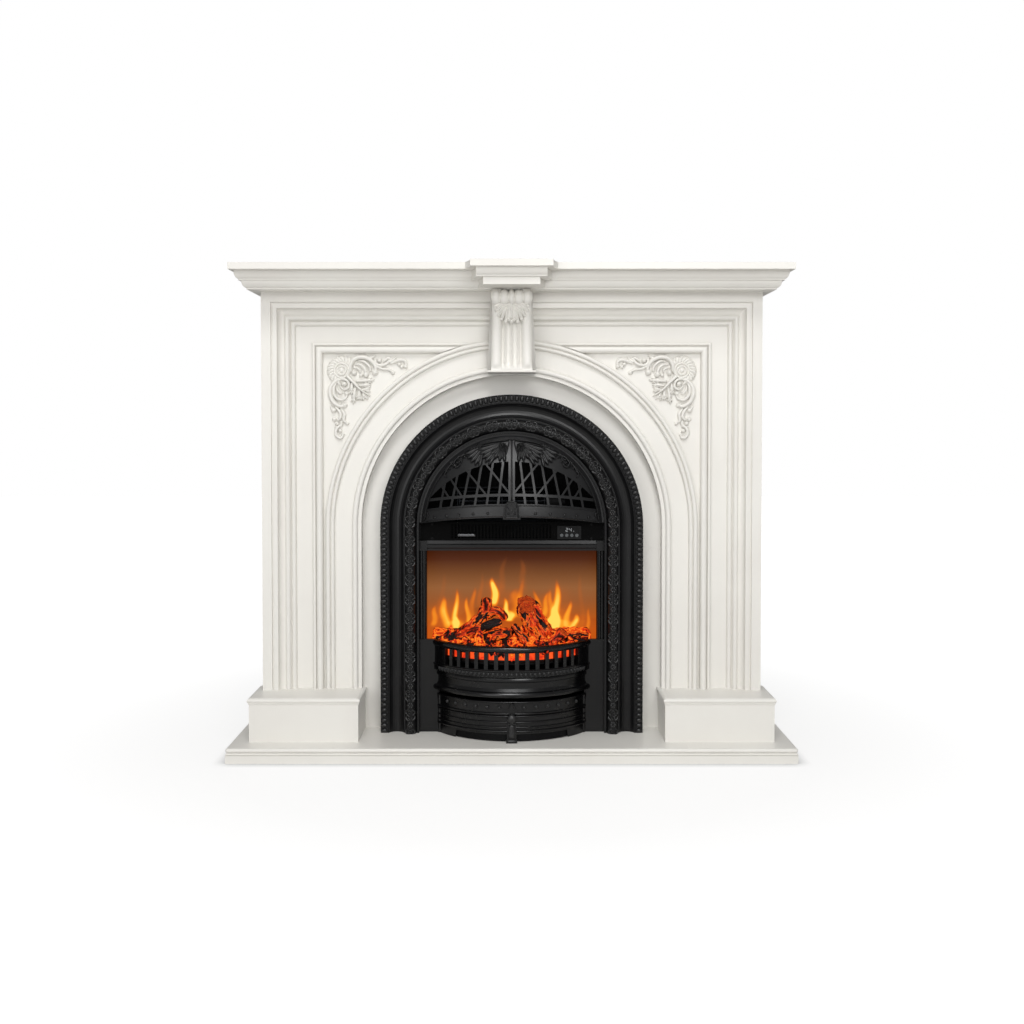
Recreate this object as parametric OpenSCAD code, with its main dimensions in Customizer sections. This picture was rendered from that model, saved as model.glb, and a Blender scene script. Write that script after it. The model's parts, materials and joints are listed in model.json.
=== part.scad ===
// Electric fireplace with mantel: an arched cast iron insert with a hood, a bowed fret, an ash
// drawer and a log-effect fire, set in a painted mantel on a hearth. Millimetres, +Z up, the
// front looks along -Y, and the origin is on the floor under the middle of the overall box.

/* [Hearth] */
// Width of the hearth, the widest piece
hearth_w = 1120; // [1116:4:1240]
// Height of the hearth top above the floor
hearth_h = 29.5; // [24:0.5:36]
// Thickness of the round-edged top slab of the hearth
slab_t = 9; // [7:0.5:12]
// Width of the small bead under the slab
hearth_bead = 4.4; // [3:0.2:6]
// How far the hearth reaches in front of the pilaster face
hearth_out = 129; // [110:1:145]

/* [Mantel body] */
// Overall depth from the wall to the front of the breakfront
total_d = 390; // [370:5:430]
// Overall height to the top of the shelf
total_h = 980; // [970:5:1040]
// Width across the two pilasters
body_w = 1022; // [1012:2:1034]
// Thickness of the side boards and the rear rail
board_t = 18; // [15:1:22]
// Thickness of the facade board
facade_t = 23; // [18:1:28]
// Thickness of the panel round the insert
niche_t = 12; // [9:1:18]
// How far the facade board lies behind the pilaster face
panel_in = 24; // [20:1:28]
// Height of the rear rail
rail_h = 70; // [50:5:100]
// Distance between the two wall screw holes in the rear rail
wall_hole_gap = 700; // [400:50:900]
// Diameter of a wall screw hole
wall_hole_d = 5.5; // [4.5:0.5:7]

/* [Plinth blocks] */
// Height of a plinth block
plinth_h = 87.7; // [76:0.1:100]
// Width of a plinth block
plinth_w = 225; // [220:1:228]
// How far a plinth block stands out sideways from the pilaster
plinth_side = 16.5; // [10:0.5:20]
// How far a plinth block stands out in front of the pilaster face
plinth_out = 80; // [60:1:90]
// How far the block's faces lie behind the widest line of its cap
plinth_inset = 3.5; // [2:0.5:6]
// Height of the rounded cap of a plinth block
cap_h = 13; // [10:0.5:16]

/* [Arch] */
// Distance from the cornice down to the centre of all the arches
arch_drop = 477; // [472:1:487]
// Radius of the opening in the facade
arch_r = 310; // [306:1:314]
// Width of the moulding round the opening
inner_mould_w = 19; // [16:0.5:22]
// Width of the flat band between the two arch mouldings
arch_band_w = 36; // [30:1:38]
// Width of the outer arch moulding
outer_mould_w = 18; // [15:0.5:19]

/* [Pilaster moulding] */
// Width of the pilaster moulding, from the outer edge inwards
frame_w = 67.5; // [60:0.5:70]
// Distance from the outer edge to the inner moulding
inner_frame_in = 101; // [96:0.5:103]
// Width of the inner moulding
inner_frame_w = 22; // [18:0.5:24]
// How far the inner moulding stands out from the facade board
inner_frame_out = 14; // [8:0.5:16]

/* [Cornice] */
// Width of the shelf
shelf_w = 1112; // [1100:2:1116]
// Thickness of the shelf
shelf_t = 13; // [11:0.5:16]
// How far the shelf reaches in front of the pilaster face
shelf_out = 100; // [90:1:110]
// Height of the upper cornice moulding
ovolo_h = 18; // [15:0.5:20]
// Height of the lower cornice moulding
band_h = 17; // [14:0.5:20]
// Setback of the upper cornice moulding behind the shelf's front
ovolo_back = 27; // [20:1:32]
// Setback of the lower cornice moulding behind the upper one
band_back = 12; // [8:1:14]
// Side setback of the upper cornice moulding from the shelf's end
ovolo_side = 6; // [4:0.5:8]
// Side setback of the lower cornice moulding from the upper one
band_side = 12.5; // [10:0.5:14]
// How far the breakfront reaches in front of the pilaster face
breakfront_out = 150; // [140:1:156]
// Width of the breakfront's front edge
breakfront_w = 160; // [150:2:180]
// Sideways sweep of the breakfront's curved ends
breakfront_sweep = 11; // [8:1:16]
// Setback of each lower breakfront tier behind the one above
tier_back = 13; // [9:1:15]

/* [Keystone] */
// Half width of the keystone's front at its top
key_top = 39; // [36:0.5:42]
// Half width of the keystone's front at its foot
key_foot = 42; // [40:0.5:46]
// Half width of the keystone's back at its foot
key_base = 49.4; // [47:0.2:53]
// Radius of the scroll at the keystone's top
key_roll_r = 15.5; // [13:0.5:17]
// How far the scroll stands out in front of the pilaster face
key_out = 69; // [60:1:72]

/* [Corner ornaments] */
// Thickness of the corner ornaments
ornament_t = 7; // [4:0.5:9]

/* [Insert frame] */
// Outer radius and half width of the cast frame
frame_r = 269; // [266:0.5:272]
// Half width of the opening in the cast frame
mouth_r = 190; // [188:0.5:192]
// Thickness of the cast frame behind its hollow
cast_t = 6; // [5:0.5:8]
// Width of the beaded border of the cast frame
bead_band_w = 15; // [13:0.5:17]
// Radius of the round ornament moulding
roll_r = 10.5; // [9:0.5:11.5]
// Height of the cheek panels above the hearth
cheek_h = 191.5; // [190.5:0.5:194]
// Distance between the cheek panels
cheek_gap = 300; // [290:2:304]

/* [Hood] */
// Width of the seam between the hood's rim and the cast frame
hood_seam = 3; // [2.5:0.5:6]
// How far the hood bulges in front of its rim
hood_bulge = 58; // [50:1:66]
// Thickness of the hood casting
hood_t = 5; // [4:0.5:6]
// Height of the hood's lower corners above the arch centre
hood_low = 5; // [3:0.5:8]
// Rise of the hood's lower edge at the middle
hood_rise = 16.5; // [12:0.5:20]
// Width of the lattice ribs
rib_w = 4.5; // [3.5:0.5:6]
// Diameter of a rivet head
rivet_d = 5.5; // [4:0.5:7]

/* [Fret and ash drawer] */
// Radius of the fret's bowed front
fret_r = 182; // [179:0.5:186]
// Distance of the bow's centre behind the pilaster face
bow_back = 97; // [93:1:99]
// Wall of the fret
fret_t = 6; // [5:0.5:8]
// Number of windows in the fret
fret_windows = 15; // [9:2:15]
// Angle between two windows
fret_pitch = 6.6; // [6.2:0.1:7]
// Width of a window
window_w = 12.7; // [10:0.1:14]
// Height of a window
window_h = 33; // [28:1:35]
// Height of the fret casting
fret_h = 63; // [60:1:66]
// Height of the ledge casting under the fret
ledge_h = 40; // [36:1:42]
// Radius of the drawer front
drawer_r = 177.5; // [176:0.5:179]
// Height of the drawer front above the hearth
drawer_h = 82; // [76:1:84]
// Height of the drawer's feet
foot_h = 15.5; // [12:0.5:20]
// Distance from the middle to a corner foot
foot_x = 113; // [100:1:125]
// Half width of the central leg
leg_half = 11; // [9:0.5:13]
// Radius of the knob on the leg
knob_r = 8.7; // [7:0.1:10]
// How far the drawer pulls out
drawer_travel = 110; // [80:5:120]

/* [Heater outlet] */
// Height of the outlet panel
outlet_h = 38; // [36:0.5:40]
// Rows of holes in the outlet grille
grille_rows = 6; // [4:1:6]
// Columns of holes in the outlet grille
grille_cols = 30; // [16:1:32]
// Width of one hole
grille_hole = 3.6; // [2:0.1:3.8]
// Distance from the opening's left edge to the grille
grille_side = 64; // [60:1:80]
// Distance from the grille to the control panel
grille_gap = 11; // [6:1:20]
// Distance from the opening's right edge to the middle of the control panel
control_side = 71.5; // [68:0.5:74]
// Width of the control panel
control_w = 49; // [46:0.5:52]
// Height of the control panel
control_h = 27; // [25:0.5:30]
// Radius of a button
button_r = 3.3; // [2.5:0.1:3.6]
// Distance between two buttons
button_pitch = 10.4; // [9:0.1:11]
// How far a button presses in
button_travel = 1; // [0.6:0.1:1.2]

/* [Fire] */
// Height of the lintel rail under the outlet
lintel_h = 20.5; // [18:0.5:22]
// Width of a post beside the fire window
post_w = 11; // [8:0.5:12]
// Height of the log bed's plate above the hearth
bed_z = 154.5; // [152:0.5:157]
// Radius of the flame spindle's shaft
spindle_r = 3; // [2.5:0.5:4]
// Reach of the flame spindle's flags
flag_reach = 14; // [10:1:16]
// Number of flags along the flame spindle
flag_count = 16; // [8:1:18]
// Radius of the heater fan's rotor
fan_r = 24; // [20:1:26]
// Number of blades of the heater fan
fan_blades = 18; // [12:1:20]

/* [Casing] */
// How far the casing's sides lie inside the edge of the cast frame's opening
casing_side = 4; // [3:0.5:6]
// How far the steel casing reaches above the centre of the arches
casing_up = 144.5; // [134.5:2:150.5]
// Depth of the steel casing
casing_d = 150; // [140:2:160]
// Thickness of the casing's sheet
sheet_t = 2; // [1.5:0.1:2.5]
// Radius of the hole for the cable gland
gland_r = 8; // [7:0.5:10]
// Diameter of the supply cable that the gland takes
cable_d = 7; // [5:0.5:9]

/* [Fits] */
// Gap round a moving piece
gap = 0.3; // [0.3:0.05:0.5]
// Smallest gap between two curved faces of one body
seat_gap = 0.2; // [0.1:0.05:0.3]

/* [Hidden] */
$fn = 96;
white = "#e9e6df";
iron = "#1d1e1f";

face_y = breakfront_out - total_d / 2;
back_y = total_d / 2;
panel_y = face_y + panel_in;
niche_y = panel_y + facade_t;
hearth_front = face_y - hearth_out;
hearth_d = back_y - hearth_front;
plinth_top = hearth_h + plinth_h;
plinth_front = face_y - plinth_out;
plinth_x1 = body_w / 2 + plinth_side;
plinth_x0 = plinth_x1 - plinth_w;
shelf_z = total_h - shelf_t;
ovolo_z = shelf_z - ovolo_h;
body_top = ovolo_z - band_h;
half = body_w / 2;
arch_z = body_top - arch_drop;
shelf_front = face_y - shelf_out;
ovolo_front = shelf_front + ovolo_back;
band_front = ovolo_front + band_back;
ovolo_half = shelf_w / 2 - ovolo_side;
band_half = ovolo_half - band_side;
break_front = face_y - breakfront_out;
band_r0 = arch_r + inner_mould_w;
band_r1 = band_r0 + arch_band_w;
arch_r1 = band_r1 + outer_mould_w;
mitre = frame_w + 3;

cast_back = face_y + 12 + cast_t;
cast_front = face_y - 0.8;
niche_r = frame_r - 19;
roll_mid = mouth_r + 17;
cheek_y = face_y + 9;
cheek_top = hearth_h + cheek_h;
bow_y = face_y + bow_back;
fret_z = cheek_top - fret_h;
ledge_z = fret_z - ledge_h;
sill_z = fret_z + 17;
drawer_top = hearth_h + drawer_h;
drawer_foot = hearth_h + gap;
pan_floor = hearth_h + sheet_t + gap;

flange_y = cast_back;
casing_front = flange_y + sheet_t;
casing_back = casing_front + casing_d;
casing_top = arch_z + casing_up;
casing_half = mouth_r - casing_side;
inner_half = casing_half - sheet_t;
hood_r = mouth_r - hood_seam;
hood_z = arch_z + hood_low;
rim_y = face_y + 5;
hood_ball = (hood_r * hood_r + hood_bulge * hood_bulge) / (2 * hood_bulge);
hood_ball_y = rim_y - hood_bulge + hood_ball;
hood_crown = hood_z + hood_rise;
hood_edge_r = (hood_r * hood_r + hood_rise * hood_rise) / (2 * hood_rise);
hood_edge_z = hood_crown - hood_edge_r;

outlet_y = cast_back - sheet_t;
outlet_z = hood_z + 2 - outlet_h;
lintel_z = outlet_z - lintel_h;
lintel_y = face_y + 12;
deck_z = lintel_z + 1.5;
control_x = mouth_r - control_side;
grille_left = grille_side - mouth_r;
grille_right = control_x - control_w / 2 - grille_gap;
button_z = outlet_z + 11;
bed_top = hearth_h + bed_z + 3;
screen_y = face_y + 69;
fire_h = lintel_z - bed_top;
ember_front = face_y - 86;
ember_back = face_y + 60;
ember_half = inner_half - 19;
spindle_y = face_y + 107;
spindle_half = inner_half - 34;
spindle_z = bed_top + 35;
fan_y = face_y + 83;
fan_z = deck_z + 95;
fan_x0 = -110;
fan_x1 = 70;
gland_x = 120;
gland_z = hearth_h + 60;
key_y = face_y - key_out + key_roll_r;
key_z0 = arch_z + arch_r + 3;
key_z1 = key_z0 + 10.5;

// Points on an arc about (cx, cy) from angle a0 to a1
function arc(cx, cy, r, a0, a1, n = 8) =
  [for (i = [0:n]) [cx + r * cos(a0 + (a1 - a0) * i / n), cy + r * sin(a0 + (a1 - a0) * i / n)]];

// A profile drawn in Y and Z, run along X from x0 to x1
module along_x(x0, x1) translate([x0, 0, 0]) rotate([90, 0, 90]) linear_extrude(x1 - x0) children();

// An outline drawn in X and Z, run along Y from y0 to y1
module along_y(y0, y1) translate([0, y1, 0]) rotate([90, 0, 0]) linear_extrude(y1 - y0) children();

// An outline drawn in X and Y, run up from z0 to z1
module along_z(z0, z1) translate([0, 0, z0]) linear_extrude(z1 - z0) children();

// A box from one corner to the other
module box(a, b) translate(a) cube(b - a);

// An arch outline of radius r in X and Z, with straight legs down to z0
module arch_outline(r, z0) {
  translate([0, arch_z]) circle(r);
  translate([-r, z0]) square([2 * r, arch_z - z0]);
}

// A moulding profile of [radius, y] points, swept over the arch and down both legs to z0
module arch_sweep(prof, z0) {
  translate([0, 0, arch_z]) rotate([90, 0, 0]) rotate_extrude(angle = 180)
    polygon([for (p = prof) [p[0], -p[1]]]);
  for (s = [-1, 1])
    along_z(z0, arch_z) polygon([for (p = prof) [s * p[0], p[1]]]);
}

// The front and end profiles of a board, met at its corners: y(z) in front and x(z) at the ends
module returned_board(front, ends, rear) {
  intersection() {
    along_x(-600, 600) polygon(concat(
      [[rear, front[0][1]]], front, [[rear, front[len(front) - 1][1]]]));
    along_y(-300, rear) polygon(concat(
      ends, [for (i = [len(ends) - 1:-1:0]) [-ends[i][0], ends[i][1]]]));
  }
}

// Half-round slab with its rounded edge at the front and both ends
module hearth_slab() {
  r = slab_t / 2;
  z = hearth_h - r;
  color(white) union() {
    box([-hearth_w / 2 + r, hearth_front + r, hearth_h - slab_t], [hearth_w / 2 - r, back_y, hearth_h]);
    translate([-hearth_w / 2 + r, hearth_front + r, z]) rotate([0, 90, 0])
      cylinder(r = r, h = hearth_w - 2 * r);
    for (s = [-1, 1]) translate([s * (hearth_w / 2 - r), 0, z]) {
      translate([0, hearth_front + r, 0]) rotate([-90, 0, 0]) cylinder(r = r, h = hearth_d - r);
      translate([0, hearth_front + r, 0]) sphere(r);
    }
  }
}

// Solid board under the slab, with a bead along its upper edge
module hearth_base() {
  top = hearth_h - slab_t;
  r = hearth_bead / 2;
  front = concat([[hearth_front, 0], [hearth_front, top - hearth_bead - 0.6]],
    arc(hearth_front + r + 0.4, top - r - 0.3, r, 270, 90, 6), [[hearth_front + r + 0.4, top]]);
  ends = [for (p = front) [p[0] - hearth_front - hearth_w / 2, p[1]]];
  color(white) returned_board(front, ends, back_y);
}

// Outline of a plinth block's side: flat face, fillet and rounded cap, as [setback, z]
function plinth_side_line() = concat(
  [[plinth_inset, hearth_h], [plinth_inset, plinth_top - cap_h],
   [plinth_inset - 1.5, plinth_top - cap_h + 1], [plinth_inset - 1.5, plinth_top - cap_h + 3]],
  arc(4.2, plinth_top - 5.2, 4.2, 200, 120, 6), [[5, plinth_top]]);

module plinth_block(s) {
  line = plinth_side_line();
  middle = s * (plinth_x0 + plinth_x1) / 2;
  color(white) intersection() {
    along_x(middle - plinth_w, middle + plinth_w) polygon(concat(
      [[niche_y, hearth_h]], [for (p = line) [plinth_front + p[0], p[1]]], [[niche_y, plinth_top]]));
    along_y(plinth_front - 1, niche_y) polygon(concat(
      [for (p = line) [s * (plinth_x0 + p[0]), p[1]]],
      [for (i = [len(line) - 1:-1:0]) [s * (plinth_x1 - line[i][0]), line[i][1]]]));
  }
}
module plinth_block_left() plinth_block(-1);
module plinth_block_right() plinth_block(1);

// Board behind all the mouldings, with the arched opening
module facade_board() {
  color(white) along_y(panel_y, niche_y) difference() {
    translate([-half, plinth_top]) square([body_w, body_top - plinth_top]);
    arch_outline(arch_r, 0);
  }
}

// Pilaster moulding as [distance from the outer edge, y]: stile, groove, cove, bead and ogee
function frame_line() = concat(
  [[0, panel_y], [0, face_y], [19.5, face_y], [20, face_y + 5], [23, face_y + 5], [23.5, face_y + 1.5],
   [31.5, face_y + 1.5]],
  arc(46, face_y + 4, 13.5, 180, 90, 6),
  arc(50.5, face_y + 15, 5, 170, 370, 8),
  arc(frame_w - 5.5, face_y + 20, 4.5, 185, 350, 8),
  [[frame_w, panel_y - 1], [frame_w, panel_y]]);

module pilaster(s) {
  color(white) intersection() {
    along_z(plinth_top, body_top) polygon([for (p = frame_line()) [s * (half - p[0]), p[1]]]);
    along_y(face_y - 1, panel_y + 1) polygon([
      [s * (half + 1), plinth_top - 1], [s * (half + 1), body_top + 1],
      [s * (half - mitre), body_top - mitre], [s * (half - mitre), plinth_top - 1]]);
  }
}
module pilaster_left() pilaster(-1);
module pilaster_right() pilaster(1);

// The same moulding across the top, mitred into the pilasters and cut for the keystone
module frieze_moulding() {
  color(white) difference() {
    intersection() {
      along_x(-half, half) polygon([for (p = frame_line()) [p[1], body_top - p[0]]]);
      along_y(face_y - 1, panel_y + 1) polygon([[-half - 1, body_top + 1], [half + 1, body_top + 1],
        [half - mitre, body_top - mitre], [mitre - half, body_top - mitre]]);
    }
    along_y(face_y - 5, panel_y + 5) key_outline();
  }
}

// Inner moulding: a small and a large bead, as [distance from its outer edge, y]
function inner_line() = concat(
  [[0, panel_y], [0, panel_y - 4]],
  arc(3.4, panel_y - inner_frame_out * 0.45, 3.2, 180, 360, 8),
  [[7.6, panel_y - 4]],
  arc((7.6 + inner_frame_w) / 2, panel_y - inner_frame_out * 0.6, (inner_frame_w - 8.6) / 2, 180, 360, 10),
  [[inner_frame_w, panel_y - 3], [inner_frame_w, panel_y]]);

module spandrel_moulding(s) {
  out = half - inner_frame_in;
  top = body_top - inner_frame_in;
  m = inner_frame_w + 2;
  color(white) difference() {
    union() {
      intersection() {
        along_z(plinth_top, top) polygon([for (p = inner_line()) [s * (out - p[0]), p[1]]]);
        along_y(face_y - 1, panel_y + 1) polygon([
          [s * (out + 1), plinth_top - 1], [s * (out + 1), top + 1],
          [s * (out - m), top - m], [s * (out - m), plinth_top - 1]]);
      }
      intersection() {
        along_x(min(0, s * out), max(0, s * out))
          polygon([for (p = inner_line()) [p[1], top - p[0]]]);
        along_y(face_y - 1, panel_y + 1) polygon([
          [s * (out + 1), top + 1], [0, top + 1], [0, top - m], [s * (out - m), top - m]]);
      }
    }
    along_y(face_y - 2, panel_y + 2) arch_outline(arch_r1, 0);
  }
}
module spandrel_moulding_left() spandrel_moulding(-1);
module spandrel_moulding_right() spandrel_moulding(1);

// Double bead over the arch and down beside it
module arch_moulding_outer() {
  w = outer_mould_w;
  color(white) difference() {
    arch_sweep(concat(
      [[band_r1, panel_y], [band_r1, panel_y - 5]],
      arc(band_r1 + w * 0.22, panel_y - 7, w * 0.2, 180, 360, 8),
      [[band_r1 + w * 0.46, panel_y - 7]],
      arc(band_r1 + w * 0.73, panel_y - 9, w * 0.25, 180, 360, 8),
      [[arch_r1, panel_y - 4], [arch_r1, panel_y]]), plinth_top);
    along_y(face_y - 5, panel_y + 5) key_outline();
  }
}

// Bead and thin step round the opening
module arch_moulding_inner() {
  w = inner_mould_w;
  color(white) difference() {
    arch_sweep(concat(
      [[arch_r, panel_y], [arch_r, panel_y - 4], [arch_r + w * 0.36, panel_y - 4]],
      arc(arch_r + w * 0.68, panel_y - 5.5, w * 0.3, 170, 370, 10),
      [[band_r0, panel_y - 2], [band_r0, panel_y]]), plinth_top);
    along_y(face_y - 5, panel_y + 5) key_outline();
  }
}

// A tapering scroll about (cx, cz): radius r0 to r1 and width w0 to w1 from angle a0 to a1
module scroll(cx, cz, r0, r1, a0, a1, w0, w1, n = 14) {
  function at(i, k) =
    let (t = i / n, a = a0 + (a1 - a0) * t, r = r0 + (r1 - r0) * t + k * (w0 + (w1 - w0) * t) / 2)
    [cx + r * cos(a), cz + r * sin(a)];
  polygon(concat([for (i = [0:n]) at(i, 1)], [for (i = [n:-1:0]) at(i, -1)]));
}

// A pointed leaf of length l and width w, growing from (cx, cz) in direction a
module leaf(cx, cz, l, w, a, n = 8) {
  translate([cx, cz]) rotate(a) polygon(concat(
    [for (i = [0:n]) [l * i / n, w / 2 * pow(sin(180 * pow(i / n, 0.8)), 0.9)]],
    [for (i = [n - 1:-1:1]) [l * i / n, -w / 2 * pow(sin(180 * pow(i / n, 0.8)), 0.9)]]));
}

// Carving raised by t from the facade board, about the middle of the rose
module carved(t) {
  inset = inner_frame_in + inner_frame_w;
  translate([half - inset - 38, panel_y, body_top - inset - 33])
    rotate([90, 0, 0]) linear_extrude(t) children();
}

// Rose with leaves and two scrolls that fill the corner
module corner_ornament_right() {
  t = ornament_t;
  color(white) union() {
    carved(t + 1.5) circle(12);
    for (a = [-30:40:110]) carved(t - 0.6) leaf(4, 4, 30, 18, a);
    carved(t) scroll(-40, 2, 17, 5, 20, 330, 8, 4);
    carved(t - 1) scroll(-40, 2, 17, 27, 20, 150, 8, 6);
    carved(t - 1.5) leaf(-58, 16, 56, 16, 184);
    carved(t - 2.2) leaf(-90, 12, 48, 12, 176);
    carved(t) scroll(-4, -42, 17, 5, 75, -240, 8, 4);
    carved(t - 1) scroll(-4, -42, 17, 27, 75, -60, 8, 6);
    carved(t - 1.5) leaf(8, -62, 48, 16, 262);
    carved(t - 2.2) leaf(3, -92, 44, 12, 272);
    carved(t - 0.8) leaf(-4, -4, 66, 22, 225);
    carved(t - 1.8) leaf(-18, -18, 42, 14, 206);
    carved(t - 1.8) leaf(-18, -18, 42, 14, 244);
  }
}
module corner_ornament_left() mirror([1, 0, 0]) corner_ornament_right();

// Outline of the keystone's back in X and Z
module key_outline() polygon([
  [-key_top - 2.5, body_top], [key_top + 2.5, body_top], [key_base, key_z0], [-key_base, key_z0]]);

// Side line of the keystone's front below its scroll, moved out by k
function key_face(k) = [for (i = [0:10])
  let (t = i / 10, z = key_z1 + (body_top - 2 * key_roll_r - key_z1) * t)
  [face_y - 34 - 26 * pow(t, 1.6) + 9 * t * (1 - t) * 2 - k, z]];

// Scroll of five lobes over a reeded, tapering body with a leaf
module keystone() {
  lobes = [[-31.5, 16], [-14.7, 17], [0, 11.5], [14.7, 17], [31.5, 16]];
  roll_z = body_top - key_roll_r;
  color(white) union() {
    intersection() {
      along_x(-60, 60) polygon(concat([[panel_y, key_z0], [face_y - 14, key_z0]], key_face(0),
        [[key_y, roll_z - key_roll_r + 1], [key_y, body_top], [panel_y, body_top]]));
      along_y(-300, panel_y) polygon([
        [-key_foot, key_z0], [-key_top, body_top], [key_top, body_top], [key_foot, key_z0]]);
    }
    along_y(face_y - 12, panel_y) key_outline();
    for (m = [[-33, 13, 3], [-13, 5, 3.5], [0, 5, 3.5], [13, 5, 3.5], [33, 13, 3]])
      along_x(m[0] - m[1] / 2, m[0] + m[1] / 2) polygon(concat(
        [[face_y - 20, key_z1]], key_face(m[2]), [[face_y - 20, body_top - 2 * key_roll_r]]));
    for (m = lobes) translate([m[0], key_y, roll_z]) rotate([0, 90, 0]) rotate_extrude() polygon(concat(
      [[0, -m[1] / 2]],
      [for (i = [0:8]) [key_roll_r - 3 + 3 * sin(180 * i / 8), m[1] * (i / 8 - 0.5)]],
      [[0, m[1] / 2]]));
    along_y(key_y - 11, key_y) for (a = [-66:22:66])
      leaf(0, body_top - 2 * key_roll_r + 2, 40 - abs(a) / 8, 13, 270 + a);
  }
}

// Rounded step of a cornice moulding as [y, z]: a straight foot, the round and the upper edge
function step_line(y, z0, z1, depth) = let (foot = 3, inner = y + depth, h = z1 - z0 - foot) concat(
  [[inner + 0.5, z0]],
  [for (p = arc(inner, z1, 1, 270, 180, 6)) [inner + (p[0] - inner) * depth, z1 + (p[1] - z1) * h]],
  [[y, z1]]);

// Plan of a breakfront tier with swept ends that leave the moulding's front at y = line
module break_plan(w, front, line) {
  steps = 6;
  end = w / 2 + breakfront_sweep;
  sweep = [for (i = [0:steps]) let (t = i / steps)
    [w / 2 + breakfront_sweep * pow(1 - t, 2.2), line + (front - line) * t]];
  polygon(concat(
    [[end, line + 20]], sweep,
    [for (i = [steps:-1:0]) [-sweep[i][0], sweep[i][1]]], [[-end, line + 20]]));
}

module cornice_band() {
  front = break_front + 2 * tier_back;
  line = step_line(band_front, body_top, ovolo_z, 8.5);
  ends = [for (p = line) [p[0] - band_front - band_half, p[1]]];
  color(white) union() {
    returned_board(line, ends, back_y);
    along_z(body_top + 2.5, ovolo_z) break_plan(breakfront_w - 49, front, band_front + 4);
  }
}

module cornice_ovolo() {
  front = break_front + tier_back;
  line = step_line(ovolo_front, ovolo_z, shelf_z, 7);
  ends = [for (p = line) [p[0] - ovolo_front - ovolo_half, p[1]]];
  color(white) union() {
    returned_board(line, ends, back_y);
    intersection() {
      along_z(ovolo_z, shelf_z) break_plan(breakfront_w - 22, front, ovolo_front + 4);
      along_x(-200, 200) polygon(concat(
        [[ovolo_front + 15, ovolo_z]], step_line(front, ovolo_z, shelf_z, 7),
        [[ovolo_front + 15, shelf_z]]));
    }
  }
}

module shelf() {
  color(white) union() {
    box([-shelf_w / 2, shelf_front, shelf_z], [shelf_w / 2, back_y, total_h]);
    along_z(shelf_z, total_h) break_plan(breakfront_w, break_front, shelf_front);
  }
}

// Panel round the insert, seen between the cast frame and the facade
module niche_panel() {
  color(white) along_y(niche_y, niche_y + niche_t) difference() {
    translate([board_t - half, hearth_h]) square([body_w - 2 * board_t, body_top - hearth_h]);
    arch_outline(niche_r, hearth_h - 1);
  }
}

module side_board(s) {
  inner = half - board_t;
  color(white) box(
    [min(s * half, s * inner), niche_y, hearth_h], [max(s * half, s * inner), back_y, body_top]);
}
module side_board_left() side_board(-1);
module side_board_right() side_board(1);

// Rail across the back, screwed to the wall
module rear_rail() {
  color("#b08d5b") difference() {
    box([board_t - half, back_y - board_t, body_top - rail_h], [half - board_t, back_y, body_top]);
    for (s = [-1, 1]) translate([s * wall_hole_gap / 2, back_y + 1, body_top - rail_h / 2])
      rotate([90, 0, 0]) cylinder(d = wall_hole_d, h = board_t + 2);
  }
}

// Arched casting: inner lip, round ornament moulding, hollow and beaded border
module cast_frame() {
  r0 = roll_mid + roll_r + 4;
  r1 = frame_r - bead_band_w - 3;
  dish = (r1 - r0) / sqrt(3);
  color(iron) arch_sweep(concat(
    [[mouth_r, cast_back], [mouth_r, face_y - 3], [mouth_r + 4, face_y - 3], [mouth_r + 4.5, face_y]],
    arc(roll_mid, face_y - 3.5, roll_r, 190, 350, 10),
    [[r0 - 3, face_y], [r0, face_y]],
    arc((r0 + r1) / 2, face_y + 2 - dish / 2, dish, 150, 30, 8),
    [[r1, face_y], [r1 + 3, face_y], [r1 + 3, cast_front], [frame_r, cast_front], [frame_r, niche_y],
     [frame_r - 5, niche_y], [frame_r - 5, cast_back]]), hearth_h);
}

// Outline between the hood's arched lower edge, raised by up, and a circle of radius r
module hood_area(r, up) {
  intersection() {
    translate([0, arch_z]) circle(r);
    difference() {
      translate([-r - 5, arch_z]) square([2 * r + 10, r + 5]);
      translate([0, hood_edge_z]) circle(hood_edge_r + up, $fn = 240);
    }
  }
}

// A straight bar from p to q
module bar(p, q, w) {
  d = q - p;
  translate(p) rotate(atan2(d[1], d[0])) translate([0, -w / 2]) square([norm(d), w]);
}

// Front view of the hood: rim, leaf-shaped upper field, ribs, crossing bars and two arched rails
module hood_pattern() {
  rail = 27;
  cross = 42;
  ribs = [[-29, -15], [-52, -35], [-76, -57], [-101, -78], [-124, -101], [-146, -124]];
  bars = [[-5, 48.5, -60, 115.5], [-52, 45.5, -104, 107.5], [-101, 41.5, -134, 89.5],
    [-128, 39.5, -152, 73.5]];
  z = hood_crown;
  difference() {
    hood_area(hood_r - 0.8, 0);
    difference() {
      intersection() {
        hood_area(hood_r - 11, rail);
        translate([0, arch_z - 89]) circle(hood_r + 35);
      }
      difference() {
        hood_area(hood_r, cross);
        hood_area(hood_r, cross + 5.5);
      }
      translate([-6.5, arch_z]) square([13, hood_r]);
      for (s = [0, 1]) mirror([s, 0]) {
        for (m = ribs) bar([m[0], z + 13.5], [m[1], z + 129.5], rib_w);
        for (m = bars) bar([m[0], z + m[1]], [m[2], z + m[3]], rib_w * 0.8);
      }
    }
  }
}

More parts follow.
